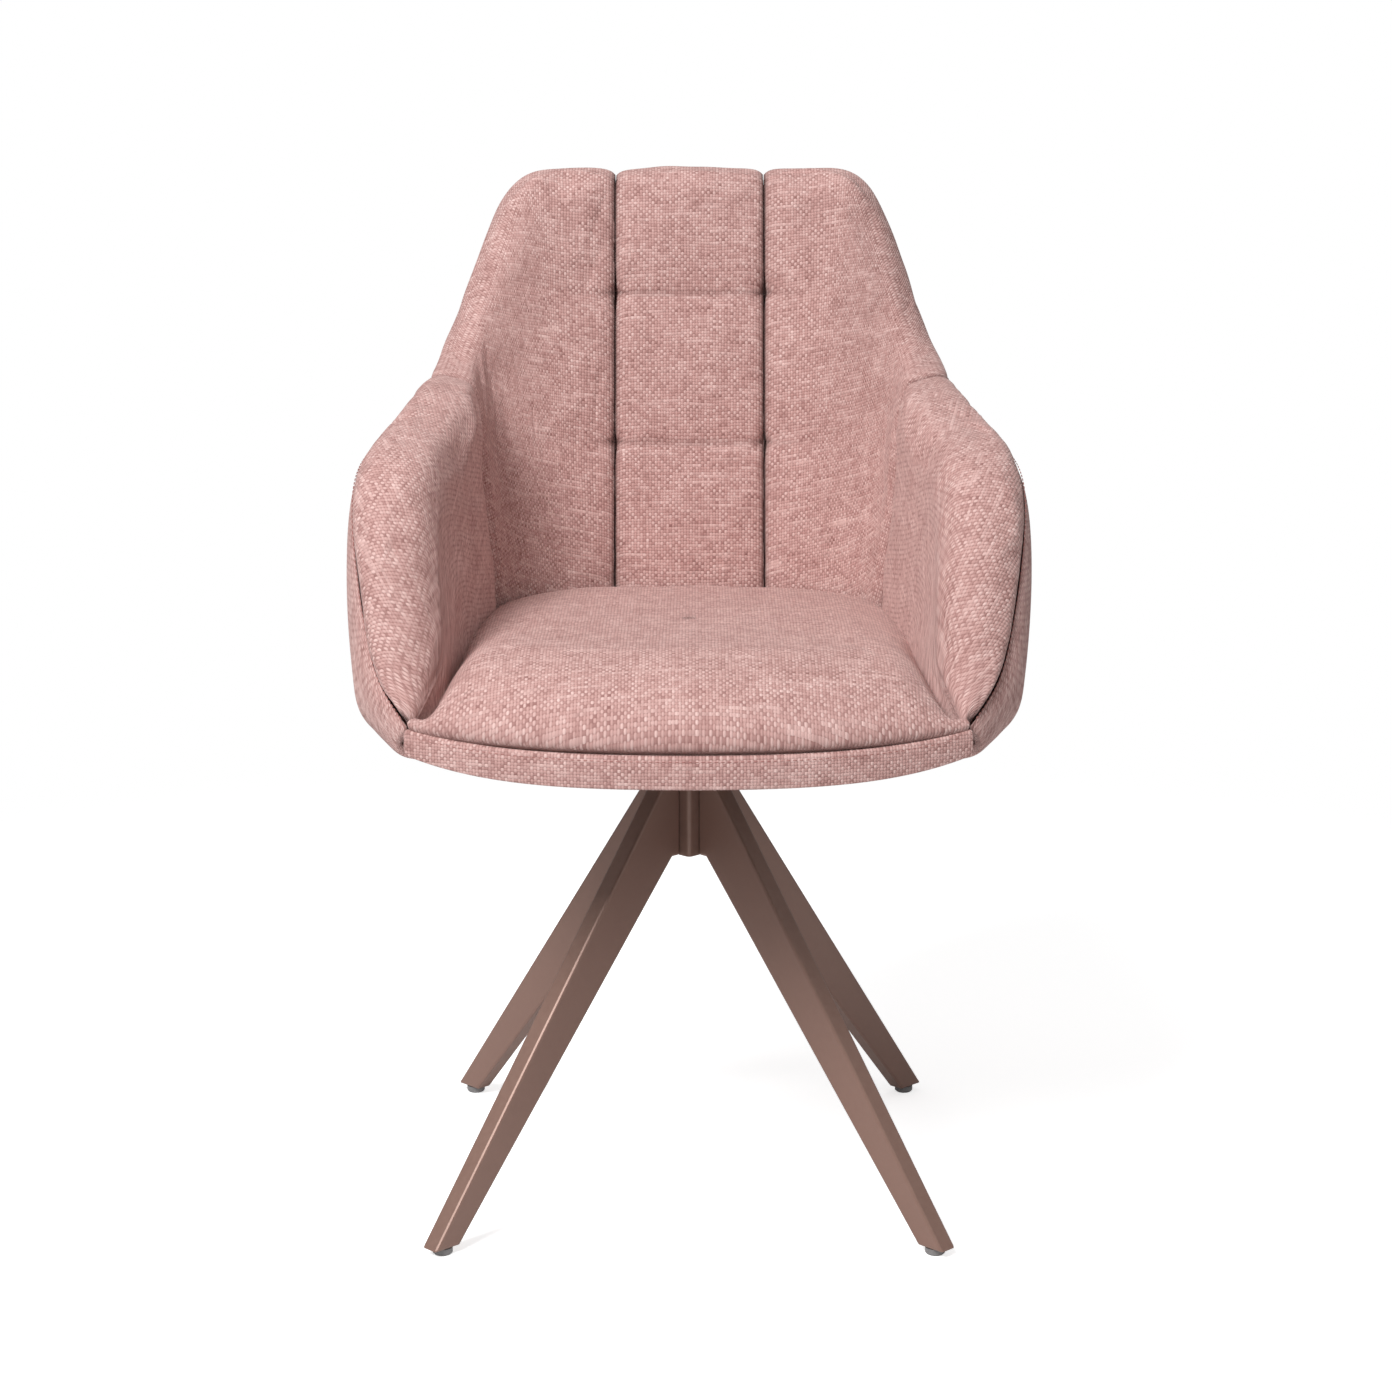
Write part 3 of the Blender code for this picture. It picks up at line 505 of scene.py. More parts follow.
def new_group(
    name: str, inputs: dict[str, tuple[str, float]], outputs: dict[str, str]
) -> tuple[bpy.types.NodeTree, NodeSheet, bpy.types.Node, bpy.types.Node]:
    """Starts a shader node group.

    Args:
        name: Name of the group.
        inputs: Kind and default of each input, by name.
        outputs: Kind of each output, by name.

    Returns:
        The group, a sheet on it, its input node and its output node.
    """
    group = bpy.data.node_groups.new(name, "ShaderNodeTree")
    for label, (kind, default) in inputs.items():
        made = group.interface.new_socket(label, in_out="INPUT", socket_type=kind)
        if kind == "NodeSocketFloat":
            made.default_value = default
    for label, kind in outputs.items():
        group.interface.new_socket(label, in_out="OUTPUT", socket_type=kind)
    sheet = NodeSheet(group)
    return group, sheet, sheet.add("NodeGroupInput"), sheet.add("NodeGroupOutput")


def weave_group() -> bpy.types.NodeTree:
    """Plain weave of thick and thin yarns, read in metres along the cloth.

    Returns:
        A group with the height of the yarns, the tone of each crossing and the pale slubs.
    """
    number = "NodeSocketFloat"
    group, sheet, given, result = new_group(
        "plain_weave",
        {"Lie": ("NodeSocketVector", 0.0), "Pitch": (number, 0.0025), "Unevenness": (number, 0.55)},
        {"Height": number, "Tone": number, "Slub": number},
    )
    lie, pitch, uneven = given.outputs[:3]
    x, y, _ = sheet.split(lie)
    drift = sheet.noise(lie, 34.0, 1.0)
    wander = sheet.math("MULTIPLY", sheet.math("SUBTRACT", drift, 0.5), uneven)
    u = sheet.math("ADD", sheet.math("DIVIDE", x, pitch), wander)
    v = sheet.math("ADD", sheet.math("DIVIDE", y, pitch), wander)
    warp, weft = sheet.math("FLOOR", u), sheet.math("FLOOR", v)

    def yarn(across: object, along: object, number_across: object, flip: float) -> bpy.types.NodeSocket:
        """Height of one set of yarns, dipping under every other crossing yarn.

        Args:
            across: Place across the yarns, in yarns.
            along: Place along them, in crossing yarns.
            number_across: Number of the yarn.
            flip: 0 or 1, so that the two sets take turns.

        Returns:
            The height, from 0 to 1.
        """
        inside = sheet.math("SUBTRACT", across, number_across)
        round_top = sheet.math("SINE", sheet.math("MULTIPLY", inside, math.pi))
        turn = sheet.math("ADD", sheet.math("ADD", along, number_across), flip)
        phase = sheet.math("MULTIPLY", turn, math.pi)
        dip = sheet.math("MULTIPLY_ADD", sheet.math("SINE", phase), 0.42, 0.58)
        return sheet.math("MULTIPLY", sheet.math("POWER", round_top, 0.6), dip)

    warp_height = yarn(u, v, warp, 0.0)
    weft_height = yarn(v, u, weft, 1.0)
    over = sheet.math("GREATER_THAN", warp_height, weft_height)
    cell = sheet.join(warp, weft)
    speck = sheet.add("ShaderNodeTexWhiteNoise", noise_dimensions="3D")
    sheet.feed(speck.inputs["Vector"], cell)
    weft_line = sheet.noise(sheet.join(sheet.math("MULTIPLY", u, 0.07), weft), 1.0, 2.0)
    warp_line = sheet.noise(sheet.join(warp, sheet.math("MULTIPLY", v, 0.07), 9.0), 1.0, 2.0)
    under = sheet.math("SUBTRACT", 1.0, over)
    warp_share = sheet.math("MULTIPLY", over, warp_line)
    yarn_line = sheet.math("ADD", warp_share, sheet.math("MULTIPLY", under, weft_line))
    cloud = sheet.noise(lie, 42.0, 2.0)
    line = sheet.math("MULTIPLY_ADD", cloud, 0.35, sheet.math("MULTIPLY", yarn_line, 0.65))
    lifted = sheet.math("MULTIPLY_ADD", over, 0.14, sheet.math("MULTIPLY", line, 0.66))
    tone = sheet.math("MULTIPLY_ADD", speck.outputs[0], 0.24, lifted)
    slub_line = sheet.noise(sheet.join(sheet.math("MULTIPLY", u, 0.07), weft, 4.0), 1.35, 0.0)
    slub = sheet.between(slub_line, 0.0, 1.0, 0.63, 0.72)
    top = sheet.math("MAXIMUM", warp_height, weft_height)
    height = sheet.math("ADD", top, sheet.math("MULTIPLY", slub, 0.25))
    for label, value in zip(("Height", "Tone", "Slub"), (height, tone, slub)):
        sheet.feed(result.inputs[label], value)
    return group


def grain_group() -> bpy.types.NodeTree:
    """Fine grain with slow clouds under it, for coats, mouldings and bare metal.

    Returns:
        A group with the height of the grain and a cloud value.
    """
    number = "NodeSocketFloat"
    group, sheet, given, result = new_group(
        "fine_grain",
        {"Place": ("NodeSocketVector", 0.0), "Grain": (number, 900.0), "Cloud": (number, 9.0)},
        {"Height": number, "Clouds": number},
    )
    place, grain, cloud = given.outputs[:3]
    sheet.feed(result.inputs["Height"], sheet.noise(place, grain, 3.0))
    sheet.feed(result.inputs["Clouds"], sheet.noise(place, cloud, 3.0))
    return group


def edge_group() -> bpy.types.NodeTree:
    """A mask of the outer edges of a hard piece, from the curvature of its faces.

    Returns:
        A group with the edge mask.
    """
    group, sheet, given, result = new_group(
        "edge_wear",
        {"Place": ("NodeSocketVector", 0.0), "Amount": ("NodeSocketFloat", 0.5)},
        {"Mask": "NodeSocketFloat"},
    )
    place, amount = given.outputs[:2]
    point = sheet.add("ShaderNodeNewGeometry").outputs["Pointiness"]
    mask = sheet.between(point, 0.0, 1.0, 0.53, 0.62)
    broken = sheet.math("MULTIPLY", mask, sheet.noise(place, 160.0, 4.0))
    sheet.feed(result.inputs["Mask"], sheet.math("MULTIPLY", broken, amount))
    return group


# ---------------------------------------------------------------- finishes
Colour = tuple[float, float, float]


def rgba(colour: Colour) -> tuple[float, float, float, float]:
    """An opaque colour."""
    return (*colour, 1.0)


def blank_material(name: str) -> tuple[bpy.types.Material, NodeSheet, bpy.types.Node]:
    """A new material.

    Args:
        name: Name of the material.

    Returns:
        The material, a sheet on its nodes, and its shader.
    """
    material = bpy.data.materials.new(name)
    material.use_nodes = True
    return material, NodeSheet(material.node_tree), material.node_tree.nodes["Principled BSDF"]


@dataclass(frozen=True)
class Groups:
    """The node groups that the finishes share."""

    weave: bpy.types.NodeTree
    grain: bpy.types.NodeTree
    edge: bpy.types.NodeTree

    @staticmethod
    def make() -> "Groups":
        """Builds each group once."""
        return Groups(weave_group(), grain_group(), edge_group())


@dataclass(frozen=True)
class WovenFabric:
    """Heathered upholstery cloth of pale and dark yarns, with painted shade between the yarns and in seams
    and tucks.

    Attributes:
        name: Name of the material.
        pale: Colour of the palest yarns.
        middle: Main colour.
        deep: Colour of the darkest yarns, and of the painted shade in the gaps between them.
        pitch: Distance between yarns, in metres.
        unevenness: How far the yarns wander, in yarns.
        gap_shade: How dark the painted shade in the gaps between the yarns is.
        slub: How pale the slubs are.
        painted_shade: How dark the painted shade is in the depth of a seam or a tuck.
        relief: Height of the yarns, in metres.
    """

    name: str
    pale: Colour = (0.830, 0.600, 0.560)
    middle: Colour = (0.580, 0.345, 0.318)
    deep: Colour = (0.270, 0.125, 0.112)
    pitch: float = 0.0027
    unevenness: float = 0.55
    gap_shade: float = 0.78
    slub: float = 0.20
    painted_shade: float = 0.80
    relief: float = 0.0008

    def make(self, groups: Groups) -> bpy.types.Material:
        """Builds the material.

        Args:
            groups: The shared node groups.

        Returns:
            The material.
        """
        material, sheet, shader = blank_material(self.name)
        lie = sheet.add("ShaderNodeAttribute", attribute_name=CLOTH_ATTRIBUTE).outputs["Vector"]
        yarns = {"Lie": lie, "Pitch": self.pitch, "Unevenness": self.unevenness}
        height, tone, slub = sheet.group(groups.weave, **yarns)
        ramp = sheet.add("ShaderNodeValToRGB")
        stops = ramp.color_ramp.elements
        stops[0].position, stops[0].color = 0.20, rgba(self.deep)
        stops[1].position, stops[1].color = 0.84, rgba(self.pale)
        middle = stops.new(0.52)
        middle.color = rgba(self.middle)
        sheet.feed(ramp.inputs[0], tone)
        paler = sheet.mix(sheet.math("MULTIPLY", slub, self.slub), ramp.outputs[0], rgba(self.pale))
        # Painted shade between the yarns: the low parts of the weave are darkened towards the deep colour.
        gap_shade = sheet.between(height, self.gap_shade, 0.0, 0.15, 0.70)
        woven = sheet.mix(gap_shade, paler, rgba(self.deep))
        # Painted shade in seams and tucks: the colour is darkened towards a near-black where the points
        # carry it.
        painted_shade = sheet.add("ShaderNodeAttribute", attribute_name=PAINTED_SHADE_ATTRIBUTE).outputs["Fac"]
        shadow = tuple(c * 0.28 for c in self.deep)
        colour = sheet.mix(sheet.math("MULTIPLY", painted_shade, self.painted_shade), woven, rgba(shadow))
        sheet.feed(shader.inputs["Base Color"], colour)
        sheet.feed(shader.inputs["Roughness"], sheet.between(tone, 0.82, 0.96))
        shader.inputs["Sheen Weight"].default_value = 0.22
        shader.inputs["Sheen Roughness"].default_value = 0.45
        shader.inputs["Sheen Tint"].default_value = rgba((1.0, 0.86, 0.82))
        shader.inputs["Specular IOR Level"].default_value = 0.25
        sheet.bump(shader, height, 0.75, self.relief)
        return material


@dataclass(frozen=True)
class HardFinish:
    """A coat, a moulding or bare metal, with grain, clouds and worn edges.

    Attributes:
        name: Name of the material.
        colour: Main colour.
        worn: Colour along the outer edges.
        roughness: Middle roughness.
        metallic: 0 for a moulding, up to 1 for bare metal.
        grain: Grains per metre.
        depth: Depth of the grain, in metres.
        wear: Strength of the worn edges.
        coat: Weight of a clear coat.
    """

    name: str
    colour: Colour
    worn: Colour
    roughness: float = 0.42
    metallic: float = 0.0
    grain: float = 900.0
    depth: float = 0.00012
    wear: float = 0.35
    coat: float = 0.0

    def make(self, groups: Groups) -> bpy.types.Material:
        """Builds the material.

        Args:
            groups: The shared node groups.

        Returns:
            The material.
        """
        material, sheet, shader = blank_material(self.name)
        place = sheet.add("ShaderNodeTexCoord").outputs["Object"]
        height, clouds = sheet.group(groups.grain, Place=place, Grain=self.grain)
        (edge,) = sheet.group(groups.edge, Place=place, Amount=self.wear)
        darker = tuple(c * 0.88 for c in self.colour)
        body = sheet.mix(clouds, rgba(darker), rgba(self.colour))
        sheet.feed(shader.inputs["Base Color"], sheet.mix(edge, body, rgba(self.worn)))
        rough = sheet.between(height, self.roughness - 0.07, self.roughness + 0.07)
        sheet.feed(shader.inputs["Roughness"], rough)
        shader.inputs["Metallic"].default_value = self.metallic
        shader.inputs["Coat Weight"].default_value = self.coat
        sheet.bump(shader, height, 0.35, self.depth)
        return material


@dataclass(frozen=True)
class PlyFinish:
    """Birch plywood, with its figure along one way and its plies on the edge.

    Attributes:
        name: Name of the material.
        pale: Colour of the pale wood.
        dark: Colour of the dark lines.
    """

    name: str = "birch_ply"
    pale: Colour = (0.66, 0.48, 0.30)
    dark: Colour = (0.42, 0.27, 0.15)

    def make(self) -> bpy.types.Material:
        """Builds the material.

        Returns:
            The material.
        """
        material, sheet, shader = blank_material(self.name)
        x, y, z = sheet.split(sheet.add("ShaderNodeTexCoord").outputs["Object"])
        lengthwise, crosswise = sheet.math("MULTIPLY", x, 4.0), sheet.math("MULTIPLY", y, 70.0)
        figure = sheet.noise(sheet.join(lengthwise, crosswise, z), 1.0, 4.0)
        plies = sheet.math("PINGPONG", sheet.math("MULTIPLY", z, 700.0), 1.0)
        tone = sheet.math("MULTIPLY_ADD", plies, 0.25, sheet.math("MULTIPLY", figure, 0.75))
        sheet.feed(shader.inputs["Base Color"], sheet.mix(tone, rgba(self.dark), rgba(self.pale)))
        sheet.feed(shader.inputs["Roughness"], sheet.between(figure, 0.55, 0.80))
        return material


@dataclass(frozen=True)
class FibreSheet:
    """Non-woven or woven technical cloth, with a fine printed-bond pattern.

    Attributes:
        name: Name of the material.
        colour: Main colour.
        scale: Bonds per metre.
    """

    name: str
    colour: Colour
    scale: float

    def make(self) -> bpy.types.Material:
        """Builds the material.

        Returns:
            The material.
        """
        material, sheet, shader = blank_material(self.name)
        place = sheet.add("ShaderNodeTexCoord").outputs["Object"]
        cells = sheet.add("ShaderNodeTexVoronoi")
        sheet.feed(cells.inputs["Vector"], place)
        cells.inputs["Scale"].default_value = self.scale
        lighter = tuple(min(1.0, c * 2.2 + 0.01) for c in self.colour)
        colour = sheet.mix(cells.outputs[0], rgba(self.colour), rgba(lighter))
        sheet.feed(shader.inputs["Base Color"], colour)
        sheet.feed(shader.inputs["Roughness"], sheet.between(cells.outputs[0], 0.80, 0.97))
        sheet.bump(shader, cells.outputs[0], 1.0, 0.0004)
        return material


@dataclass(frozen=True)
class Thread:
    """Twisted sewing thread.

    Attributes:
        name: Name of the material.
        colour: Colour between the twists.
    """

    name: str = "sewing_thread"
    colour: Colour = (0.26, 0.105, 0.092)

    def make(self) -> bpy.types.Material:
        """Builds the material.

        Returns:
            The material.
        """
        material, sheet, shader = blank_material(self.name)
        place = sheet.add("ShaderNodeTexCoord").outputs["Object"]
        twist = sheet.noise(place, 1500.0, 2.0)
        pale = tuple(c * 1.7 for c in self.colour)
        sheet.feed(shader.inputs["Base Color"], sheet.mix(twist, rgba(self.colour), rgba(pale)))
        sheet.feed(shader.inputs["Roughness"], sheet.between(twist, 0.55, 0.80))
        return material


# ---------------------------------------------------------------- shape of the bucket
@dataclass
class BucketForm:
    """The wall of the bucket, read at stations from -10 (left front corner) to 10 (right).

    Attributes:
        half_width: Seam on the arm at its widest, from the centre.
        back_reach: Seam at the top of the back, behind the swivel axis.
        top_z: Seam along the top of the back.
        arm_z: Seam half way along the arm.
        corner_z: Seam where the arm meets the front border.
        foot_z: Lower edge of the pads.
        skin_foot_z: Lower edge of the outer cover.
        rim_rise: How far a pad stands above its seam.
        cover_swell: How far the outer cover swells out under its seam.
        cover_reach: How far the outer cover tucks in towards its foot.
        last: Number of the station at the front corner.
    """

    half_width: float = field(default_factory=lambda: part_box("arm_pad_right")[1][0])
    back_reach: float = 0.2800
    top_z: float = field(default_factory=lambda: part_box("outer_cover_back")[1][2])
    arm_z: float = 0.6600
    corner_z: float = field(default_factory=lambda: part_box("front_border")[0][2] + 0.0400)
    foot_z: float = field(default_factory=lambda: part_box("arm_pad_right")[0][2])
    skin_foot_z: float = field(default_factory=lambda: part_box("outer_cover_right")[0][2])
    rim_rise: float = 0.0125
    cover_swell: float = 0.0150
    cover_reach: float = 0.0790
    last: int = 10

    def __post_init__(self) -> None:
        """Lists the stations of the right half and mirrors them to the left."""
        w, b, top = self.half_width, self.back_reach, self.top_z
        arm, corner = self.arm_z, self.corner_z
        back_rise, arm_rise = top - arm, arm - corner
        # Seam x, y, z; foot of the pad x, y; foot of the cover x, y; thickness of the pad.
        half = [
            (0.0, b, top, 0.000, 0.165, 0.000, 0.172, 0.044),
            (w - 0.1685, b - 0.003, top - 0.001, 0.045, 0.162, 0.045, 0.170, 0.044),
            (w - 0.1175, b - 0.014, top - 0.019, 0.085, 0.155, 0.088, 0.164, 0.044),
            (w - 0.0775, b - 0.044, top - back_rise * 0.53, 0.125, 0.141, 0.132, 0.152, 0.046),
            (w - 0.0470, b - 0.106, arm + back_rise * 0.19, 0.160, 0.113, 0.168, 0.124, 0.048),
            (w - 0.0345, b - 0.205, arm + back_rise * 0.10, 0.178, 0.060, 0.188, 0.066, 0.052),
            (w - 0.0135, b - 0.290, arm, 0.190, -0.012, 0.198, -0.010, 0.058),
            (w, b - 0.385, arm - arm_rise * 0.17, 0.199, -0.105, 0.205, -0.100, 0.060),
            (w - 0.0145, b - 0.446, corner + arm_rise * 0.34, 0.204, -0.165, 0.213, -0.153, 0.050),
            (w - 0.0315, b - 0.478, corner + arm_rise * 0.11, 0.208, -0.206, 0.218, -0.190, 0.030),
            (w - 0.0530, b - 0.512, corner, 0.216, -0.233, 0.2215, -0.222, 0.012),
        ]
        right = np.array(half)
        left = right[:0:-1].copy()
        left[:, [0, 3, 5]] *= -1
        self.rows = np.vstack([left, right])

    def read(self, stations: np.ndarray) -> dict[str, np.ndarray]:
        """The wall at some stations.

        Args:
            stations: Stations, from -10 to 10.

        Returns:
            The seam, the feet, the inward and rim directions and the pad's thickness, by name.
        """
        count = len(self.rows)
        step = 0.01
        here = natural_spline_weights(count, stations + self.last) @ self.rows
        ahead = natural_spline_weights(count, stations + self.last + step) @ self.rows
        behind = natural_spline_weights(count, stations + self.last - step) @ self.rows
        run = ahead - behind
        tangent = unit(run[:, :3])
        along = unit(run[:, 3:5])
        inward = np.stack([along[:, 1], -along[:, 0], np.zeros(len(along))], axis=1)
        rim = unit(np.cross(inward, tangent))
        level = np.full(len(here), self.foot_z)
        low = np.full(len(here), self.skin_foot_z)
        return {
            "seam": here[:, :3],
            "foot": np.column_stack([here[:, 3:5], level]),
            "skin_foot": np.column_stack([here[:, 5:7], low]),
            "inward": inward,
            "rim": rim,
            "thick": here[:, 7:8],
        }

    def pad_rows(self, stations: np.ndarray, rows: int) -> tuple[np.ndarray, np.ndarray]:
        """The face of a pad and its hidden back.

        Args:
            stations: Stations, one per column.
            rows: Points from the seam to the foot.

        Returns:
            The face as (rows, columns, 3) and the back as (3, columns, 3), foot first.
        """
        at = self.read(stations)
        seam, foot, inward, rim, thick = (at[k] for k in ("seam", "foot", "inward", "rim", "thick"))
        rise = np.minimum(self.rim_rise, 0.35 * thick)
        shoulder = seam - rim * rise * 0.35 + inward * thick
        controls = np.stack(
            [
                seam + inward * 0.0022 - rim * np.minimum(0.0060, rise * 0.6),
                seam + rim * rise * 0.74 + inward * thick * 0.12,
                seam + rim * rise * 1.02 + inward * thick * 0.42,
                seam + rim * rise * 0.72 + inward * thick * 0.76,
                shoulder,
                shoulder + (foot - shoulder) * 0.22,
                shoulder + (foot - shoulder) * 0.48,
                shoulder + (foot - shoulder) * 0.74,
                foot,
            ]
        )
        lengths = np.array([0.0, 0.45, 1.0, 1.55, 2.1, 3.6, 5.2, 6.6, 8.0])
        want = np.interp(np.linspace(0, 1, rows), lengths / lengths[-1], np.arange(9.0))
        face = np.einsum("rk,kcx->rcx", natural_spline_weights(9, want), controls)
        back = np.stack(
            [
                foot - inward * np.minimum(0.014, 0.6 * thick),
                seam + inward * thick * 0.64 - rim * thick * 0.66,
                seam + inward * (0.0022 + thick * 0.16) - rim * np.minimum(0.0070, rise * 0.7),
            ]
        )
        return face, back

    def skin_rows(self, stations: np.ndarray, rows: int) -> tuple[np.ndarray, np.ndarray]:
        """The outer cover from the seam to its foot.

        Args:
            stations: Stations, one per column.
            rows: Points from the seam to the foot.

        Returns:
            The outside as (rows, columns, 3) and the direction inwards at each point.
        """
        at = self.read(stations)
        seam, foot, inward = at["seam"], at["skin_foot"], at["inward"]
        height = (seam - foot)[:, 2:3]
        swell = self.cover_swell + 0.03 * np.maximum(0.0, height - 0.25)
        reach = np.minimum(self.cover_reach + 0.16 * np.maximum(0.0, height - 0.22), height * 0.9)
        drop = np.array([0.0, 0.0, 0.25]) * height
        first = seam - drop - inward * np.minimum(swell, height * 0.5)
        second = foot - inward * reach
        t = np.linspace(0.0, 1.0, rows)[:, None, None]
        upper = (1 - t) ** 3 * seam + 3 * t * (1 - t) ** 2 * first
        grid = upper + 3 * t * t * (1 - t) * second + t**3 * foot
        normals = grid_normals(grid)
        facing = np.sign(np.sum(normals * inward, axis=-1, keepdims=True).mean())
        return grid, normals * facing


# ---------------------------------------------------------------- upholstery
SITTER = (0.0, -0.05, 0.62)  # a point in the open space of the bucket, that every pad faces
PANEL_GAP = 0.0005  # from an upright seam to the edge of each panel beside it


def pillow(distance: np.ndarray, depth: float, reach: float) -> np.ndarray:
    """How far cloth sinks at a distance from a seam that pulls it in."""
    return -depth * np.exp(-np.abs(distance) / reach)


@dataclass
class Tufting:
    """The sewn lines and pulled points of the back.

    Attributes:
        seam_x: The two upright seams, from the centre.
        line_z: Heights of the level lines.
        line_depth: How deep a level line pulls.
        point_depth: How deep the cloth is pulled where lines cross.
        pucker: Height of the folds that run out from a pulled point.
    """

    seam_x: float = 0.0687
    line_z: tuple[float, float] = (0.770, 0.634)
    line_depth: float = 0.0026
    point_depth: float = 0.0036
    pucker: float = 0.0011

    def shade(self, points: np.ndarray) -> np.ndarray:
        """Painted shade along the sewn lines and round the pulled points: how dark each place is made.

        Args:
            points: Places on the back.

        Returns:
            A share per place, 0 away from the lines.
        """
        total = np.zeros(points.shape[:-1])
        beyond = np.maximum(0.0, np.abs(points[..., 0]) - self.seam_x)
        fade = np.clip(1.0 - 0.55 * np.minimum(1.0, beyond / 0.02) - beyond / 0.16, 0.0, 1.0)
        for level in self.line_z:
            away = np.abs(points[..., 2] - level - 0.35 * beyond**1.5)
            total += 0.42 * np.exp(-((away / 0.0019) ** 2)) * fade
            for side in (-1, 1):
                far = np.hypot(points[..., 0] - side * self.seam_x, points[..., 2] - level)
                total += 0.3 * np.exp(-((far / 0.005) ** 2))
        return total

    def sink(self, points: np.ndarray) -> np.ndarray:
        """How far the lines and the pulled points draw each place in.

        Args:
            points: Places on the back.

        Returns:
            A distance per place, below 0 where the cloth is drawn in.
        """
        total = np.zeros(points.shape[:-1])
        x, z = points[..., 0], points[..., 2]
        beyond = np.maximum(0.0, np.abs(x) - self.seam_x)
        fade = np.clip(1.0 - 0.55 * np.minimum(1.0, beyond / 0.02) - beyond / 0.20, 0.0, 1.0)
        for level in self.line_z:
            away = z - level - 0.35 * beyond**1.5
            total += pillow(away, self.line_depth, 0.0120) * fade
            total += pillow(away, 0.0014, 0.0024) * fade
            for side in (-1, 1):
                dx, dz = x - side * self.seam_x, z - level
                far = np.hypot(dx, dz)
                turn = np.arctan2(dz, np.abs(dx))
                total -= self.point_depth * np.exp(-((far / 0.009) ** 1.6))
                fold = np.cos(6 * turn + 0.8 * side) * np.exp(-far / 0.017) * np.minimum(1.0, far / 0.007)
                total += self.pucker * fold
        return total


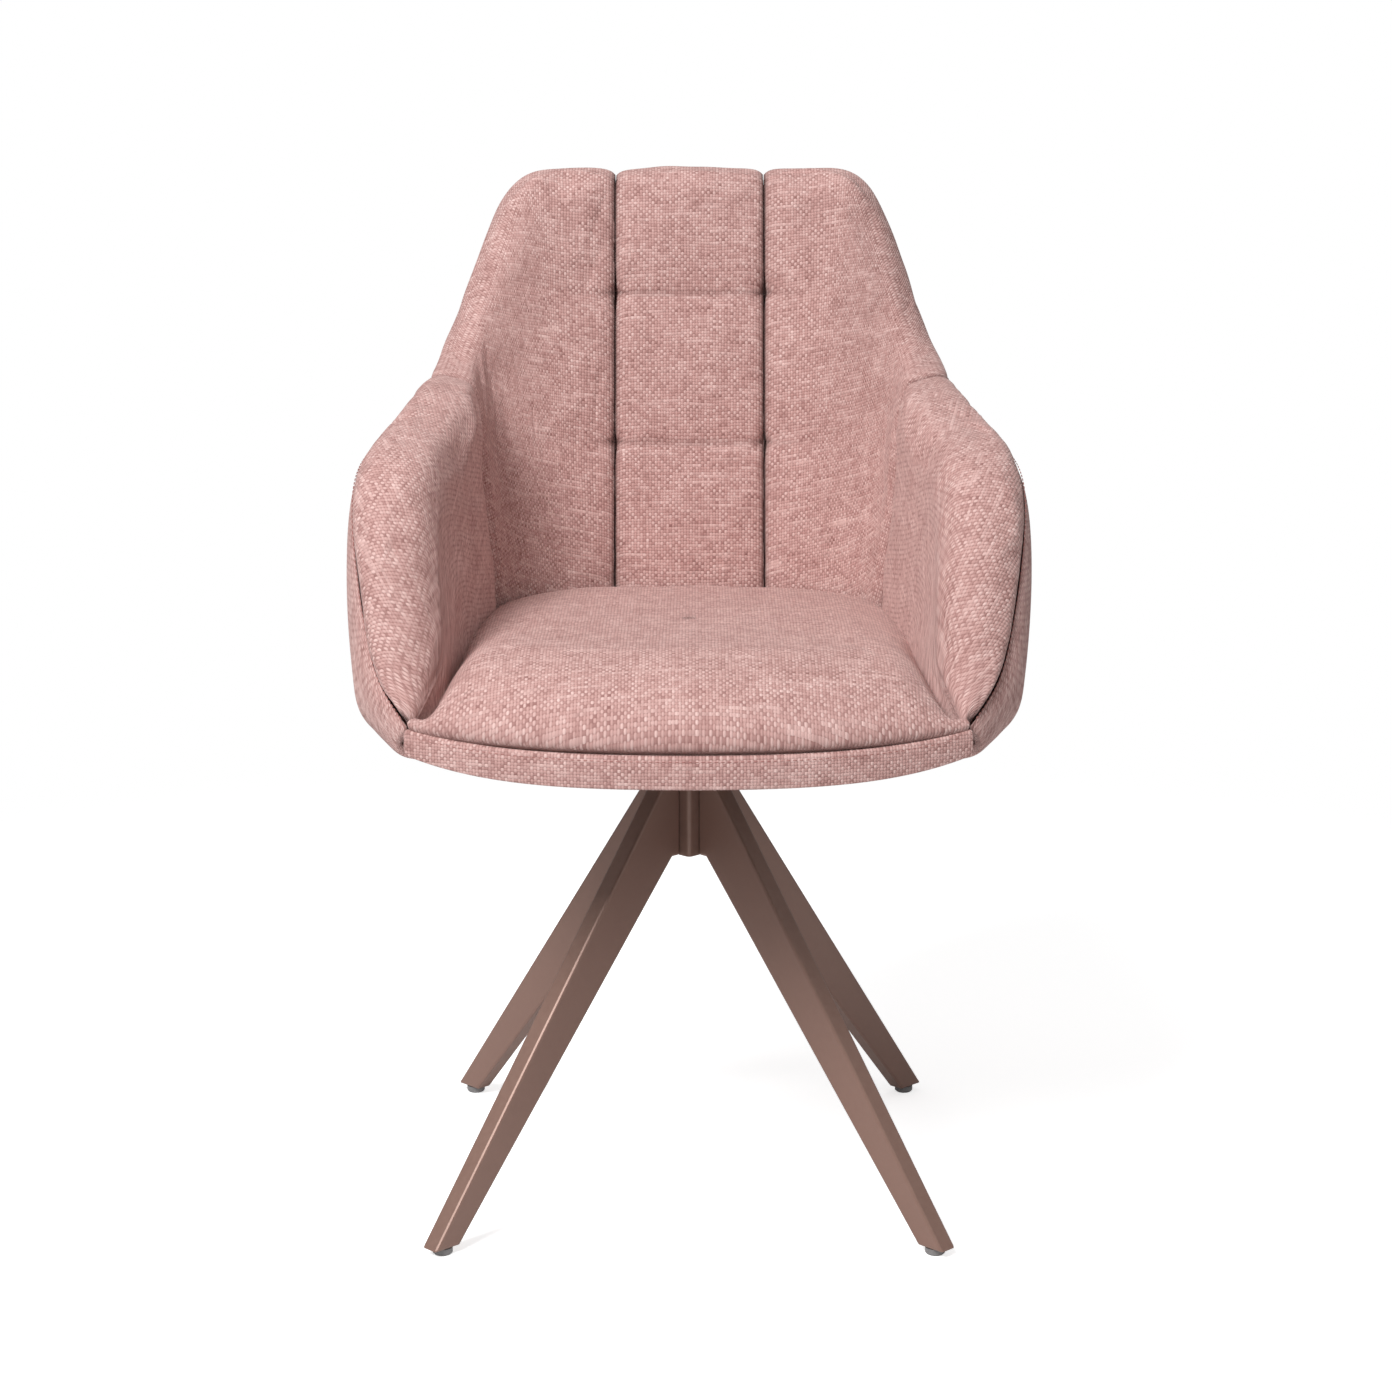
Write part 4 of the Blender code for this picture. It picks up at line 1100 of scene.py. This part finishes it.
@dataclass
class Pad:
    """One sewn panel of the bucket's inside.

    Attributes:
        name: Name of the piece.
        node: CAD node that it stands for.
        form: The bucket.
        tufting: Sewn lines of the back, on back panels only.
        seam_depth: How deep the panel dives at its upright seams.
        seam_reach: How far from a seam the dive starts.
        crown: How far its middle stands out.
        rim_pull: How far the cloth sinks along the rim seam.
        wrinkle: Height of the small folds beside the upright seams.
        hill: Height of the broad hills and hollows.
        ripple: Height of the small hills and hollows.
        rows: Points from the rim to the foot.
        cell: Distance between columns of points.
        turn: How far the cloth is cut off the straight, in degrees.
    """

    name: str
    node: str
    form: BucketForm
    tufting: Tufting | None = None
    seam_depth: float = 0.0050
    seam_reach: float = 0.0042
    crown: float = 0.0026
    rim_pull: float = 0.0012
    wrinkle: float = 0.0005
    hill: float = 0.0012
    ripple: float = 0.0005
    rows: int = 190
    cell: float = 0.0042
    turn: float = 0.0

    def build(
        self, stations: np.ndarray, low_x: float | None, high_x: float | None, seed: int
    ) -> bpy.types.Object:
        """Builds and stuffs the panel.

        Args:
            stations: Stations that the panel spans, dense and rising.
            low_x: Upright seam on its left, or None where the last station ends it.
            high_x: Upright seam on its right, or None.
            seed: Pattern of the hills and hollows.

        Returns:
            The finished piece.
        """
        rows = self.rows
        face, back = self.form.pad_rows(stations, rows)
        rings = np.concatenate([face, back])
        span = lengths_along(face, 1)[rows // 3, -1]
        columns = max(12, int(span / self.cell))
        rings = self.between_seams(rings, columns, low_x, high_x)
        face = rings[:rows]
        normals = grid_normals(face)
        if np.sum(normals * (np.array(SITTER) - face)) < 0:
            normals = -normals
        across = lengths_along(face, 1)
        down = lengths_along(face, 0)
        ends = np.minimum(across, across[:, -1:] - across)
        below_rim = np.maximum(0.0, down - 0.006)
        sink = self.relief(face, across, down, seed)
        rings[:rows] = face + normals * sink[..., None]
        held = np.zeros(rings.shape[:2])
        held[:rows] = np.clip(1.0 - np.minimum(ends, below_rim) / 0.007, 0.0, 1.0)
        if self.tufting:
            held[:rows] = np.maximum(held[:rows], np.clip(-self.tufting.sink(face) / 0.0035, 0.0, 1.0))
        held[rows - 4 :] = 1.0
        mesh = closed_wrap(rings, self.cloth_lie(rings, across, down), held)
        # Painted shade: the cloth is darkened along its upright seams, under the rim seam and along the
        # back's sewn lines.
        depth = np.zeros(rings.shape[:2])
        depth[:rows] = 0.95 * np.exp(-ends / 0.0020) + 0.6 * np.exp(-down / 0.0050)
        if self.tufting:
            depth[:rows] += self.tufting.shade(face)
        mesh.painted_shade = np.append(depth.ravel(), [0.0, 0.0])
        piece = mesh.to_object(self.name)
        Stuffing(cap=0.003).fill(piece)
        return piece

    def relief(self, face: np.ndarray, across: np.ndarray, down: np.ndarray, seed: int) -> np.ndarray:
        """How far the cloth stands out from the plain face, before it is stuffed.

        Args:
            face: Points of the face, as (rows, columns, 3).
            across: Lengths along its rows.
            down: Lengths down its columns.
            seed: Pattern of the hills and hollows.

        Returns:
            A distance per point, below 0 where the cloth sinks.
        """
        ends = np.minimum(across, across[:, -1:] - across)
        open_rim = np.clip(down / 0.012, 0.0, 1.0)
        sink = pillow(ends, self.seam_depth, self.seam_reach) * (0.45 + 0.55 * open_rim)
        sink += pillow(np.maximum(0.0, down - 0.006), self.rim_pull, 0.0040)
        sink += self.crown * (1 - np.exp(-ends / 0.030)) * np.clip(down / 0.05, 0, 1)
        wave = down / 0.0064 + 2.2 * np.sin(down / 0.023) + np.where(across < ends + 1e-9, 0.0, 1.7)
        sink += self.wrinkle * np.sin(wave) * np.exp(-ends / 0.011)
        sink += self.hill * soft_noise(face, 0.085, seed) + self.ripple * soft_noise(face, 0.030, seed + 50)
        if self.tufting:
            sink += self.tufting.sink(face)
        return sink

    @staticmethod
    def between_seams(
        rings: np.ndarray, columns: int, low_x: float | None, high_x: float | None
    ) -> np.ndarray:
        """Resamples each row evenly between two upright seams or the panel's ends.

        Args:
            rings: Points, as (rows, columns, 3).
            columns: Number of columns wanted.
            low_x: Upright seam on the left, or None.
            high_x: Upright seam on the right, or None.

        Returns:
            The points, with the wanted number of columns.
        """
        fine = np.empty((rings.shape[0], columns, 3))
        for row, line in enumerate(rings):
            run = run_along(line)
            start = np.interp(low_x, line[:, 0], run) if low_x is not None else 0.0
            stop = np.interp(high_x, line[:, 0], run) if high_x is not None else run[-1]
            fine[row] = read_line(np.linspace(start, stop, columns), run, line)
        return fine

    def cloth_lie(self, rings: np.ndarray, across: np.ndarray, down: np.ndarray) -> np.ndarray:
        """Lengths along the cloth: level on the back, along the rim on an arm.

        Args:
            rings: Points of the face and of the hidden back, as (rows, columns, 3).
            across: Lengths along the rows of the face.
            down: Lengths down its columns.

        Returns:
            Two lengths per point.
        """
        rows = len(across)
        lie = np.zeros((*rings.shape[:2], 2))
        middle_x = rings[rows // 2, rings.shape[1] // 2, 0]
        start = across[:, -1:] * (0.0 if middle_x > 0.03 else 1.0 if middle_x < -0.03 else 0.5)
        u = across - start + middle_x * 7.3
        v = (rings[:rows, :, 2] + rings[:rows, :, 1]) * 0.87 if self.tufting else -down
        angle = math.radians(self.turn)
        lie[:rows, :, 0] = u * math.cos(angle) - v * math.sin(angle)
        lie[:rows, :, 1] = u * math.sin(angle) + v * math.cos(angle)
        lie[rows:] = lie[rows - 1]
        return lie


@dataclass
class Bucket:
    """The inside panels, the outer cover and their seams.

    Attributes:
        form: The wall that they follow.
        tufting: Sewn lines of the back.
        split: Station of the seam between the back and an arm pad.
        arm_end: Station where an arm pad ends.
        cover_split: Station of the seam between the cover's back and arm panels.
        skin: Thickness of the outer cover.
    """

    form: BucketForm
    tufting: Tufting = field(default_factory=Tufting)
    split: float = 4.3
    arm_end: float = 9.85
    cover_split: float = 4.6
    skin: float = 0.0070

    def build_pads(self) -> list[tuple[bpy.types.Object, str, float]]:
        """The two arm pads and the three panels of the back.

        Returns:
            Each piece, its CAD node and how full it is.
        """
        x = self.tufting.seam_x
        made = []
        dense = np.linspace(-self.split, self.split, 241)
        for name, low, high, seed in (
            ("left", None, -x - PANEL_GAP, 11),
            ("centre", -x + PANEL_GAP, x - PANEL_GAP, 12),
            ("right", x + PANEL_GAP, None, 13),
        ):
            pad = Pad(f"back_panel_{name}", f"back_pad_{name}", self.form, self.tufting)
            made.append((pad.build(dense, low, high, seed), pad.node, 0.6))
        arm = Pad("arm", "arm", self.form, seam_depth=0.0080, crown=0.0078, rows=120, cell=0.0048)
        for side, seed in ((Side.LEFT, 14), (Side.RIGHT, 15)):
            ends = sorted((side.value * self.split, side.value * self.arm_end))
            label = side.name.lower()
            names = {"name": f"arm_cushion_{label}", "node": f"arm_pad_{label}"}
            pad = replace(arm, **names, turn=24.0 * side.value)
            made.append((pad.build(np.linspace(*ends, 161), None, None, seed), pad.node, 0.7))
        return made

    def build_cover(self) -> list[tuple[bpy.types.Object, str]]:
        """The outside of the bucket: a back panel and a panel for each arm.

        Returns:
            Each piece and its CAD node.
        """
        made = []
        edge, split = float(self.form.last), self.cover_split
        for name, low, high, seed in (
            ("outer_cover_back", -split, split, 21),
            ("outer_cover_left", -edge, -split, 22),
            ("outer_cover_right", split, edge, 23),
        ):
            columns, rows = int((high - low) * 14), 46
            grid, inwards = self.form.skin_rows(np.linspace(low, high, columns), rows)
            across, down = lengths_along(grid, 1), lengths_along(grid, 0)
            ends = np.minimum(across, across[:, -1:] - across)
            sink = pillow(ends, 0.0028, 0.006) + pillow(down, 0.0016, 0.005)
            sink += 0.0008 * soft_noise(grid, 0.11, seed)
            outside = grid - inwards * sink[..., None]
            taper = np.clip(0.15 + 3.5 * np.linspace(0, 1, rows), 0, 1)[:, None, None]
            inside = (grid + inwards * self.skin * taper)[::-1][::5]
            rings = np.concatenate([outside, inside])
            lie = np.zeros((*rings.shape[:2], 2))
            lie[:rows, :, 0] = across - across[:, -1:] / 2
            lie[:rows, :, 1] = -down
            mesh = closed_wrap(rings, lie, np.zeros(rings.shape[:2]))
            piece = mesh.to_object(f"{name}_cloth")
            refine(piece)
            made.append((piece, name))
        return made

    def seam_paths(self) -> dict[str, np.ndarray]:
        """Lines that the visible stitching follows.

        Returns:
            The points of each line, by the name of its stitching.
        """
        paths = {}
        for side in Side:
            at = self.form.read(side.value * np.linspace(4.0, self.form.last - 0.10, 200))
            line = at["seam"] + at["rim"] * 0.0012 + at["inward"] * 0.0006
            paths[f"arm_stitching_{side.name.lower()}"] = line
        return paths


STITCH_LENGTH = 0.0036
STITCH_PITCH = 0.0052
THREAD_RADIUS = 0.00045


def stitch_row(name: str, path: np.ndarray) -> bpy.types.Object:
    """A row of short sewn stitches along a path, as small closed beads of thread.

    Args:
        name: Name of the piece.
        path: Points of the seam.

    Returns:
        The stitches as one object.
    """
    run = run_along(path)
    angles = [math.pi * k / 3 for k in range(6)]
    bm = bmesh.new()
    for start in np.arange(STITCH_PITCH, run[-1] - STITCH_PITCH, STITCH_PITCH):
        ends = [Vector(read_line(at, run, path)) for at in (start, start + STITCH_LENGTH)]
        axis = (ends[1] - ends[0]).normalized()
        side = axis.cross(Vector((0, 0, 1))).normalized()
        lift = axis.cross(side)
        rings = []
        for share, size in ((0.0, 0.35), (0.2, 1.0), (0.8, 1.0), (1.0, 0.35)):
            centre = ends[0].lerp(ends[1], share)
            spokes = [side * math.cos(angle) + lift * math.sin(angle) for angle in angles]
            rings.append([bm.verts.new(centre + spoke * THREAD_RADIUS * size) for spoke in spokes])
        for low, high in zip(rings, rings[1:]):
            for k in range(6):
                bm.faces.new((low[k], low[(k + 1) % 6], high[(k + 1) % 6], high[k]))
        bm.faces.new(rings[0][::-1])
        bm.faces.new(rings[-1])
    bmesh.ops.recalc_face_normals(bm, faces=bm.faces)
    mesh = bpy.data.meshes.new(name)
    bm.to_mesh(mesh)
    bm.free()
    mesh.shade_smooth()
    return add_object(name, mesh)


@dataclass
class Seat:
    """The seat cushion and the border under its front edge.

    Attributes:
        form: The bucket that the cushion fits in.
        front_reach: Front of the border at the centre, ahead of the axis.
        border_low_z: Lower edge of the border.
        seam_z: Seam between the cushion and the border.
        crown_z: Top of the cushion.
        low_z: Underside of the cushion.
        border: Thickness of the border.
        corner_x: End of the front seam, from the centre.
        corner_y: The same end, ahead of or behind the axis.
        corner_lift: How far the seam climbs at its ends.
        centre_y: Middle of the cushion.
        front_roll: How far the rounding of the front edge runs back.
        side_roll: How far the rounding beside the pads runs in.
    """

    form: BucketForm
    front_reach: float = field(default_factory=lambda: -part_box("front_border")[0][1])
    border_low_z: float = field(default_factory=lambda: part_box("front_border")[0][2])
    seam_z: float = 0.4490
    crown_z: float = field(default_factory=lambda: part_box("seat_cushion")[1][2])
    low_z: float = field(default_factory=lambda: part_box("seat_cushion")[0][2])
    border: float = 0.0090
    corner_x: float = field(default_factory=lambda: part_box("front_border")[1][0] + 0.0042)
    corner_y: float = field(default_factory=lambda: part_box("front_border")[1][1] - 0.0100)
    corner_lift: float = 0.0120
    centre_y: float = -0.0450
    front_roll: float = 0.1150
    side_roll: float = 0.0420

    def __post_init__(self) -> None:
        """Works out the circle that the bowed front follows, and the line of the pads' feet."""
        self.bow = self.front_reach + self.corner_y
        self.radius = (self.corner_x**2 + self.bow**2) / (2 * self.bow)
        self.arc_y = self.radius - self.front_reach
        at = self.form.read(np.linspace(-9.72, 9.72, 150))
        self.side_points = at["foot"][:, :2] + at["inward"][:, :2] * 0.0005

    def front_line(self, count: int, back: float = 0.0) -> np.ndarray:
        """The bowed front of the seat in plan, from right to left.

        Args:
            count: Number of points.
            back: How far it is set back.

        Returns:
            The points, as (count, 2).
        """
        half = math.asin(self.corner_x / self.radius)
        angles = np.linspace(half, -half, count)
        reach = self.radius - back
        return np.stack([reach * np.sin(angles), self.arc_y - reach * np.cos(angles)], axis=1)

    def lift(self, x: np.ndarray, amount: float) -> np.ndarray:
        """How far the front seam climbs towards the corners."""
        return amount * np.minimum(1.0, np.abs(x) / self.corner_x) ** 4

    def outline(self) -> np.ndarray:
        """Plan of the cushion: round the back between the pads, then along the front.

        Returns:
            The points, as (count, 2).
        """
        loop = np.vstack([self.side_points, self.front_line(80, 0.0004), self.side_points[:1]])
        run = run_along(loop)
        return read_line(np.linspace(0, run[-1], 301)[:-1], run, loop)

    def top_height(self, flat: np.ndarray, seed: int = 31) -> np.ndarray:
        """Height of the cushion's face over places in plan.

        Args:
            flat: The places, as (count, 2).
            seed: Pattern of the hills and hollows.

        Returns:
            One height per place.
        """
        from_front = self.radius - np.hypot(flat[:, 0], flat[:, 1] - self.arc_y)
        gaps = flat[:, None, :] - self.side_points[None, :, :]
        from_side = np.sqrt(np.min(np.sum(gaps * gaps, axis=2), axis=1))
        g = np.clip(from_front / self.front_roll, 0.0, 1.0)
        front = (1.0 - (1.0 - g) ** 2.3) ** 0.62
        h = np.clip(from_side / self.side_roll, 0.0, 1.0)
        share = np.interp(flat[:, 1], (-0.24, -0.11, -0.035, 0.11), (0.28, 0.36, 0.68, 0.86))
        side = share + (1.0 - share) * (1.0 - (1.0 - h) ** 2.2)
        dome = 0.95 + 0.05 * np.clip(from_side / 0.20, 0.0, 1.0) ** 0.8
        seam = self.seam_z - 0.0006 + self.lift(flat[:, 0], self.corner_lift) * (1.0 - front)
        hills = 0.0011 * front * side * soft_noise(np.column_stack([flat, flat[:, :1] * 0]), 0.12, seed)
        return seam + (self.crown_z + 0.0015 - seam) * front * side * dome + hills

    def build_cushion(self) -> bpy.types.Object:
        """The crowned cushion, blown up by its own stuffing.

        Returns:
            The finished piece.
        """
        edge = self.outline()
        count = len(edge)
        centre = np.array([0.0, self.centre_y])
        radial = centre - edge
        away = unit(radial)
        # Rings of points lie close together at the edge, where the cushion curves most.
        shares = np.concatenate([[0.0, 0.006, 0.014, 0.026, 0.042, 0.062], np.linspace(0.088, 0.965, 26)])
        rings, lies, holds = [], [], []
        wall = self.top_height(edge)
        # Under the seam the wall steps in, by more at the front, where it stands behind the border.
        at_front = np.clip((-edge[:, 1] - 0.19) / 0.03, 0.0, 1.0)
        inset = (0.002 + (self.border + 0.002) * at_front)[:, None]
        for share in (0.0, 0.45, 0.9):
            low = self.low_z + (np.minimum(wall, self.seam_z) - 0.002 - self.low_z) * share
            rings.append(np.column_stack([edge + away * inset, low]))
            lies.append(edge - away * (self.crown_z - low)[:, None])
            holds.append(np.ones(count))
        for share in shares:
            flat = edge + radial * share
            rings.append(np.column_stack([flat, self.top_height(flat)]))
            lies.append(flat)
            holds.append(np.full(count, max(0.0, 1.0 - share / 0.05)))
        top = np.append(centre, self.top_height(centre[None])[0])
        points = np.vstack([*rings, top[None], np.append(centre, self.low_z)[None]])
        lie = np.vstack([*lies, centre[None], centre[None]])
        lie[:, 1] *= 1.03
        held = np.concatenate([*holds, np.zeros(1), np.ones(1)])
        faces: list[tuple[int, ...]] = []
        for ring in range(len(rings) - 1):
            for k in range(count):
                a, b = ring * count + k, ring * count + (k + 1) % count
                faces.append((a, b, b + count, a + count))
        last = (len(rings) - 1) * count
        for k in range(count):
            faces.append((last + k, last + (k + 1) % count, len(points) - 2))
            faces.append((k, (k + 1) % count, len(points) - 1))
        # Painted shade: the cushion's cloth is darkened towards its edge seam, and not on the wall under
        # it.
        painted_edge_shade = [np.full(count, math.exp(-share / 0.012)) for share in shares]
        depth = np.append(np.concatenate([np.zeros(3 * count), *painted_edge_shade]) * 0.4, [0.0, 0.0])
        piece = ClothMesh(points, lie, faces, held, depth).to_object("seat_cushion_cloth")
        Stuffing(cap=0.0015, pressure=1.0).fill(piece)
        refine(piece)
        return piece

    def build_border(self) -> bpy.types.Object:
        """The band of cloth under the front edge of the cushion.

        Returns:
            The finished piece.
        """
        columns = 110
        outer = self.front_line(columns)
        inner = self.front_line(columns, self.border)
        # Share of the thickness, and share of the height, round the band's section.
        face = [*((0.0, level) for level in (0.03, 0.08, 0.25, 0.5, 0.75, 0.90)), (0.06, 0.965)]
        profile = [*face, (0.25, 0.985), (1.0, 0.985), (1.0, 0.02), (0.35, 0.0), (0.10, 0.0)]
        low = self.border_low_z + self.lift(outer[:, 0], 0.0180)
        high = self.seam_z - 0.0004 + self.lift(outer[:, 0], self.corner_lift)
        rings, lies = [], []
        along = lengths_along(outer[None], 1)[0]
        for back, level in profile:
            bulge = 0.0014 * math.sin(math.pi * level) ** 0.7 * (1 - back)
            flat = outer + (inner - outer) * back + unit(outer - inner) * (bulge - 0.0010)
            z = low + (high - low) * level
            rings.append(np.column_stack([flat, z]))
            lies.append(np.column_stack([along, z]))
        mesh = closed_wrap(np.stack(rings), np.stack(lies), np.zeros((len(profile), columns)))
        piece = mesh.to_object("front_border_cloth")
        refine(piece, 2)
        return piece

    def seam_path(self) -> np.ndarray:
        """The line of stitching under the front edge of the cushion."""
        line = self.front_line(160, 0.0004)[3:-3]
        return np.column_stack([line, self.seam_z - 0.0052 + self.lift(line[:, 0], self.corner_lift)])


# ---------------------------------------------------------------- steel, plastic and hidden pieces
HARD_FINISHES = {
    "powder_coat": HardFinish(
        "bronze_powder_coat", (0.262, 0.150, 0.118), (0.40, 0.27, 0.22), 0.40, 0.25, wear=0.5
    ),
    "bare_steel": HardFinish(
        "zinc_plate", (0.46, 0.46, 0.47), (0.70, 0.70, 0.72), 0.36, 1.0, 500.0
    ),
    "ball_steel": HardFinish(
        "polished_balls", (0.62, 0.62, 0.64), (0.80, 0.80, 0.82), 0.16, 1.0, 300.0
    ),
    "glide_plastic": HardFinish(
        "glide_moulding", (0.20, 0.19, 0.19), (0.34, 0.33, 0.33), 0.42, 0.0, 700.0
    ),
    "black_plastic": HardFinish(
        "plug_moulding", (0.02, 0.02, 0.02), (0.05, 0.05, 0.05), 0.50, 0.0, 700.0
    ),
    "nylon": HardFinish(
        "natural_nylon", (0.72, 0.70, 0.64), (0.85, 0.84, 0.80), 0.48, 0.0, 600.0
    ),
}
PLAIN_FINISHES = {
    "plywood": PlyFinish(),
    "non_woven": FibreSheet("dust_cover_felt", (0.014, 0.014, 0.014), 900.0),
    "webbing": FibreSheet("strap_webbing", (0.05, 0.05, 0.055), 420.0),
}


@dataclass
class Ironwork:
    """Dresses the CAD pieces that keep their own shape.

    Attributes:
        groups: The shared node groups.
        hard: Finish of each slot of steel or plastic.
        plain: Finish of each slot of wood or technical cloth.
    """

    groups: Groups
    hard: dict[str, HardFinish] = field(default_factory=lambda: HARD_FINISHES)
    plain: dict[str, PlyFinish | FibreSheet] = field(default_factory=lambda: PLAIN_FINISHES)

    def dress(self) -> int:
        """Gives each kept CAD node the material of its slot.

        Returns:
            How many nodes it dressed.
        """
        made = {slot: finish.make(self.groups) for slot, finish in self.hard.items()}
        made |= {slot: finish.make() for slot, finish in self.plain.items()}
        count = 0
        for part in frame["record"]["subparts"]:
            material = made.get(part["material_slot"])
            if material is None:
                continue
            mesh = frame["nodes"][part["node"]].data
            mesh.materials.clear()
            mesh.materials.append(material)
            count += 1
        return count


# ---------------------------------------------------------------- studio
@dataclass
class Studio:
    """The pale floor, the soft lights and the camera.

    Attributes:
        eye: Place of the camera.
        tilt: How far the camera looks down, in degrees.
        focal: Focal length, in millimetres.
        sensor: Width of the sensor, in millimetres.
        surround: How bright the surround lights the chair.
        paper_glow: How much the floor is lifted towards white where the camera sees it.
        fade: Where the floor starts to fade out and where it is gone, from the middle.
    """

    eye: tuple[float, float, float] = (0.006, -2.728, 1.018)
    tilt: float = 12.044
    focal: float = 82.11
    sensor: float = 36.0
    surround: float = 0.30
    paper_glow: float = 0.64
    fade: tuple[float, float] = (0.75, 1.60)

    def build_floor(self) -> None:
        """A wide pale floor that fades into the surround."""
        bm = bmesh.new()
        bmesh.ops.create_grid(bm, x_segments=1, y_segments=1, size=30.0)
        mesh = bpy.data.meshes.new("studio_floor")
        bm.to_mesh(mesh)
        bm.free()
        floor = add_object("studio_floor", mesh)
        material, sheet, shader = blank_material("studio_paper")
        shader.inputs["Base Color"].default_value = rgba((0.97, 0.97, 0.97))
        shader.inputs["Roughness"].default_value = 0.9
        shader.inputs["Specular IOR Level"].default_value = 0.0
        shader.inputs["Emission Color"].default_value = rgba((1.0, 1.0, 1.0))
        seen = sheet.add("ShaderNodeLightPath").outputs["Is Camera Ray"]
        sheet.feed(shader.inputs["Emission Strength"], sheet.math("MULTIPLY", seen, self.paper_glow))
        place = sheet.add("ShaderNodeTexCoord").outputs["Object"]
        far = sheet.add("ShaderNodeVectorMath", operation="LENGTH")
        sheet.feed(far.inputs[0], place)
        fade = sheet.between(far.outputs["Value"], 1.0, 0.0, *self.fade)
        fade.node.interpolation_type = "SMOOTHSTEP"
        sheet.feed(shader.inputs["Alpha"], fade)
        mesh.materials.append(material)

    def area_light(self, name: str, place: Vector, aim: Vector, size: float, watts: float) -> None:
        """A square soft light.

        Args:
            name: Name of the light.
            place: Where it stands.
            aim: Point that it faces.
            size: Length of its side.
            watts: Its power.
        """
        light = bpy.data.lights.new(name, "AREA")
        light.energy = watts
        light.size = size
        holder = add_object(name, light)
        holder.location = place
        holder.rotation_euler = (aim - place).to_track_quat("-Z", "Y").to_euler()

    def build_lights(self) -> None:
        """A large key from the upper left, a fill, a light from above and an even white surround."""
        middle = Vector((0.0, 0.0, 0.5))
        self.area_light("key", Vector((-1.55, -2.2, 3.1)), middle, 1.6, 141.0)
        self.area_light("fill", Vector((2.6, -2.6, 1.9)), middle, 2.0, 10.0)
        self.area_light("top", Vector((0.2, 0.5, 3.2)), middle, 2.2, 6.0)
        world = bpy.data.worlds.new("studio_surround")
        world.use_nodes = True
        sheet = NodeSheet(world.node_tree)
        seen = sheet.add("ShaderNodeLightPath").outputs["Is Camera Ray"]
        background = world.node_tree.nodes["Background"]
        background.inputs[0].default_value = rgba((1.0, 1.0, 1.0))
        sheet.feed(background.inputs[1], sheet.between(seen, self.surround, 1.0))
        bpy.context.scene.world = world

    def build_camera(self) -> None:
        """The camera, in front of the chair and looking slightly down."""
        lens = bpy.data.cameras.new("studio_camera")
        lens.lens = self.focal
        lens.sensor_width = self.sensor
        holder = add_object("studio_camera", lens)
        holder.location = self.eye
        holder.rotation_euler = (math.radians(90.0 - self.tilt), 0.0, 0.0)
        bpy.context.scene.camera = holder
        bpy.context.scene.view_settings.view_transform = "Standard"


def place_piece(
    piece: bpy.types.Object, body: Body, material: bpy.types.Material
) -> None:
    """Puts a piece on its body with its finish, and reports it.

    Args:
        piece: The piece.
        body: Rigid body that carries it.
        material: Its finish.
    """
    piece.data.materials.append(material)
    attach(piece, body.value)
    LOG.info("%s rides on %s, %d points", piece.name, body.value, len(piece.data.vertices))


def main() -> None:
    """Builds the looks of the whole chair, in order."""
    logging.basicConfig(level=logging.INFO, format="%(name)s: %(message)s")
    studio = Studio()
    studio.build_camera()
    studio.build_floor()
    studio.build_lights()
    groups = Groups.make()
    fabric = WovenFabric("rose_heather_cloth").make(groups)
    outer_fabric = WovenFabric("rose_heather_cover").make(groups)
    thread = Thread().make()
    LOG.info("dressed %d hard pieces", Ironwork(groups).dress())

    form = BucketForm()
    bucket = Bucket(form)
    for piece, node, fill in bucket.build_pads():
        place_piece(piece, Body.SEAT, fabric)
        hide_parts(node)
    for piece, node in bucket.build_cover():
        place_piece(piece, Body.SEAT, outer_fabric)
        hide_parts(node)
    seat = Seat(form)
    cushion = seat.build_cushion()
    place_piece(cushion, Body.SEAT, fabric)
    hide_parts("seat_cushion")
    border = seat.build_border()
    place_piece(border, Body.SEAT, fabric)
    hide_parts("front_border")
    paths = bucket.seam_paths()
    paths["front_stitching"] = seat.seam_path()
    for name, path in paths.items():
        place_piece(stitch_row(name, path), Body.SEAT, thread)


if __name__ == "__main__":
    main()
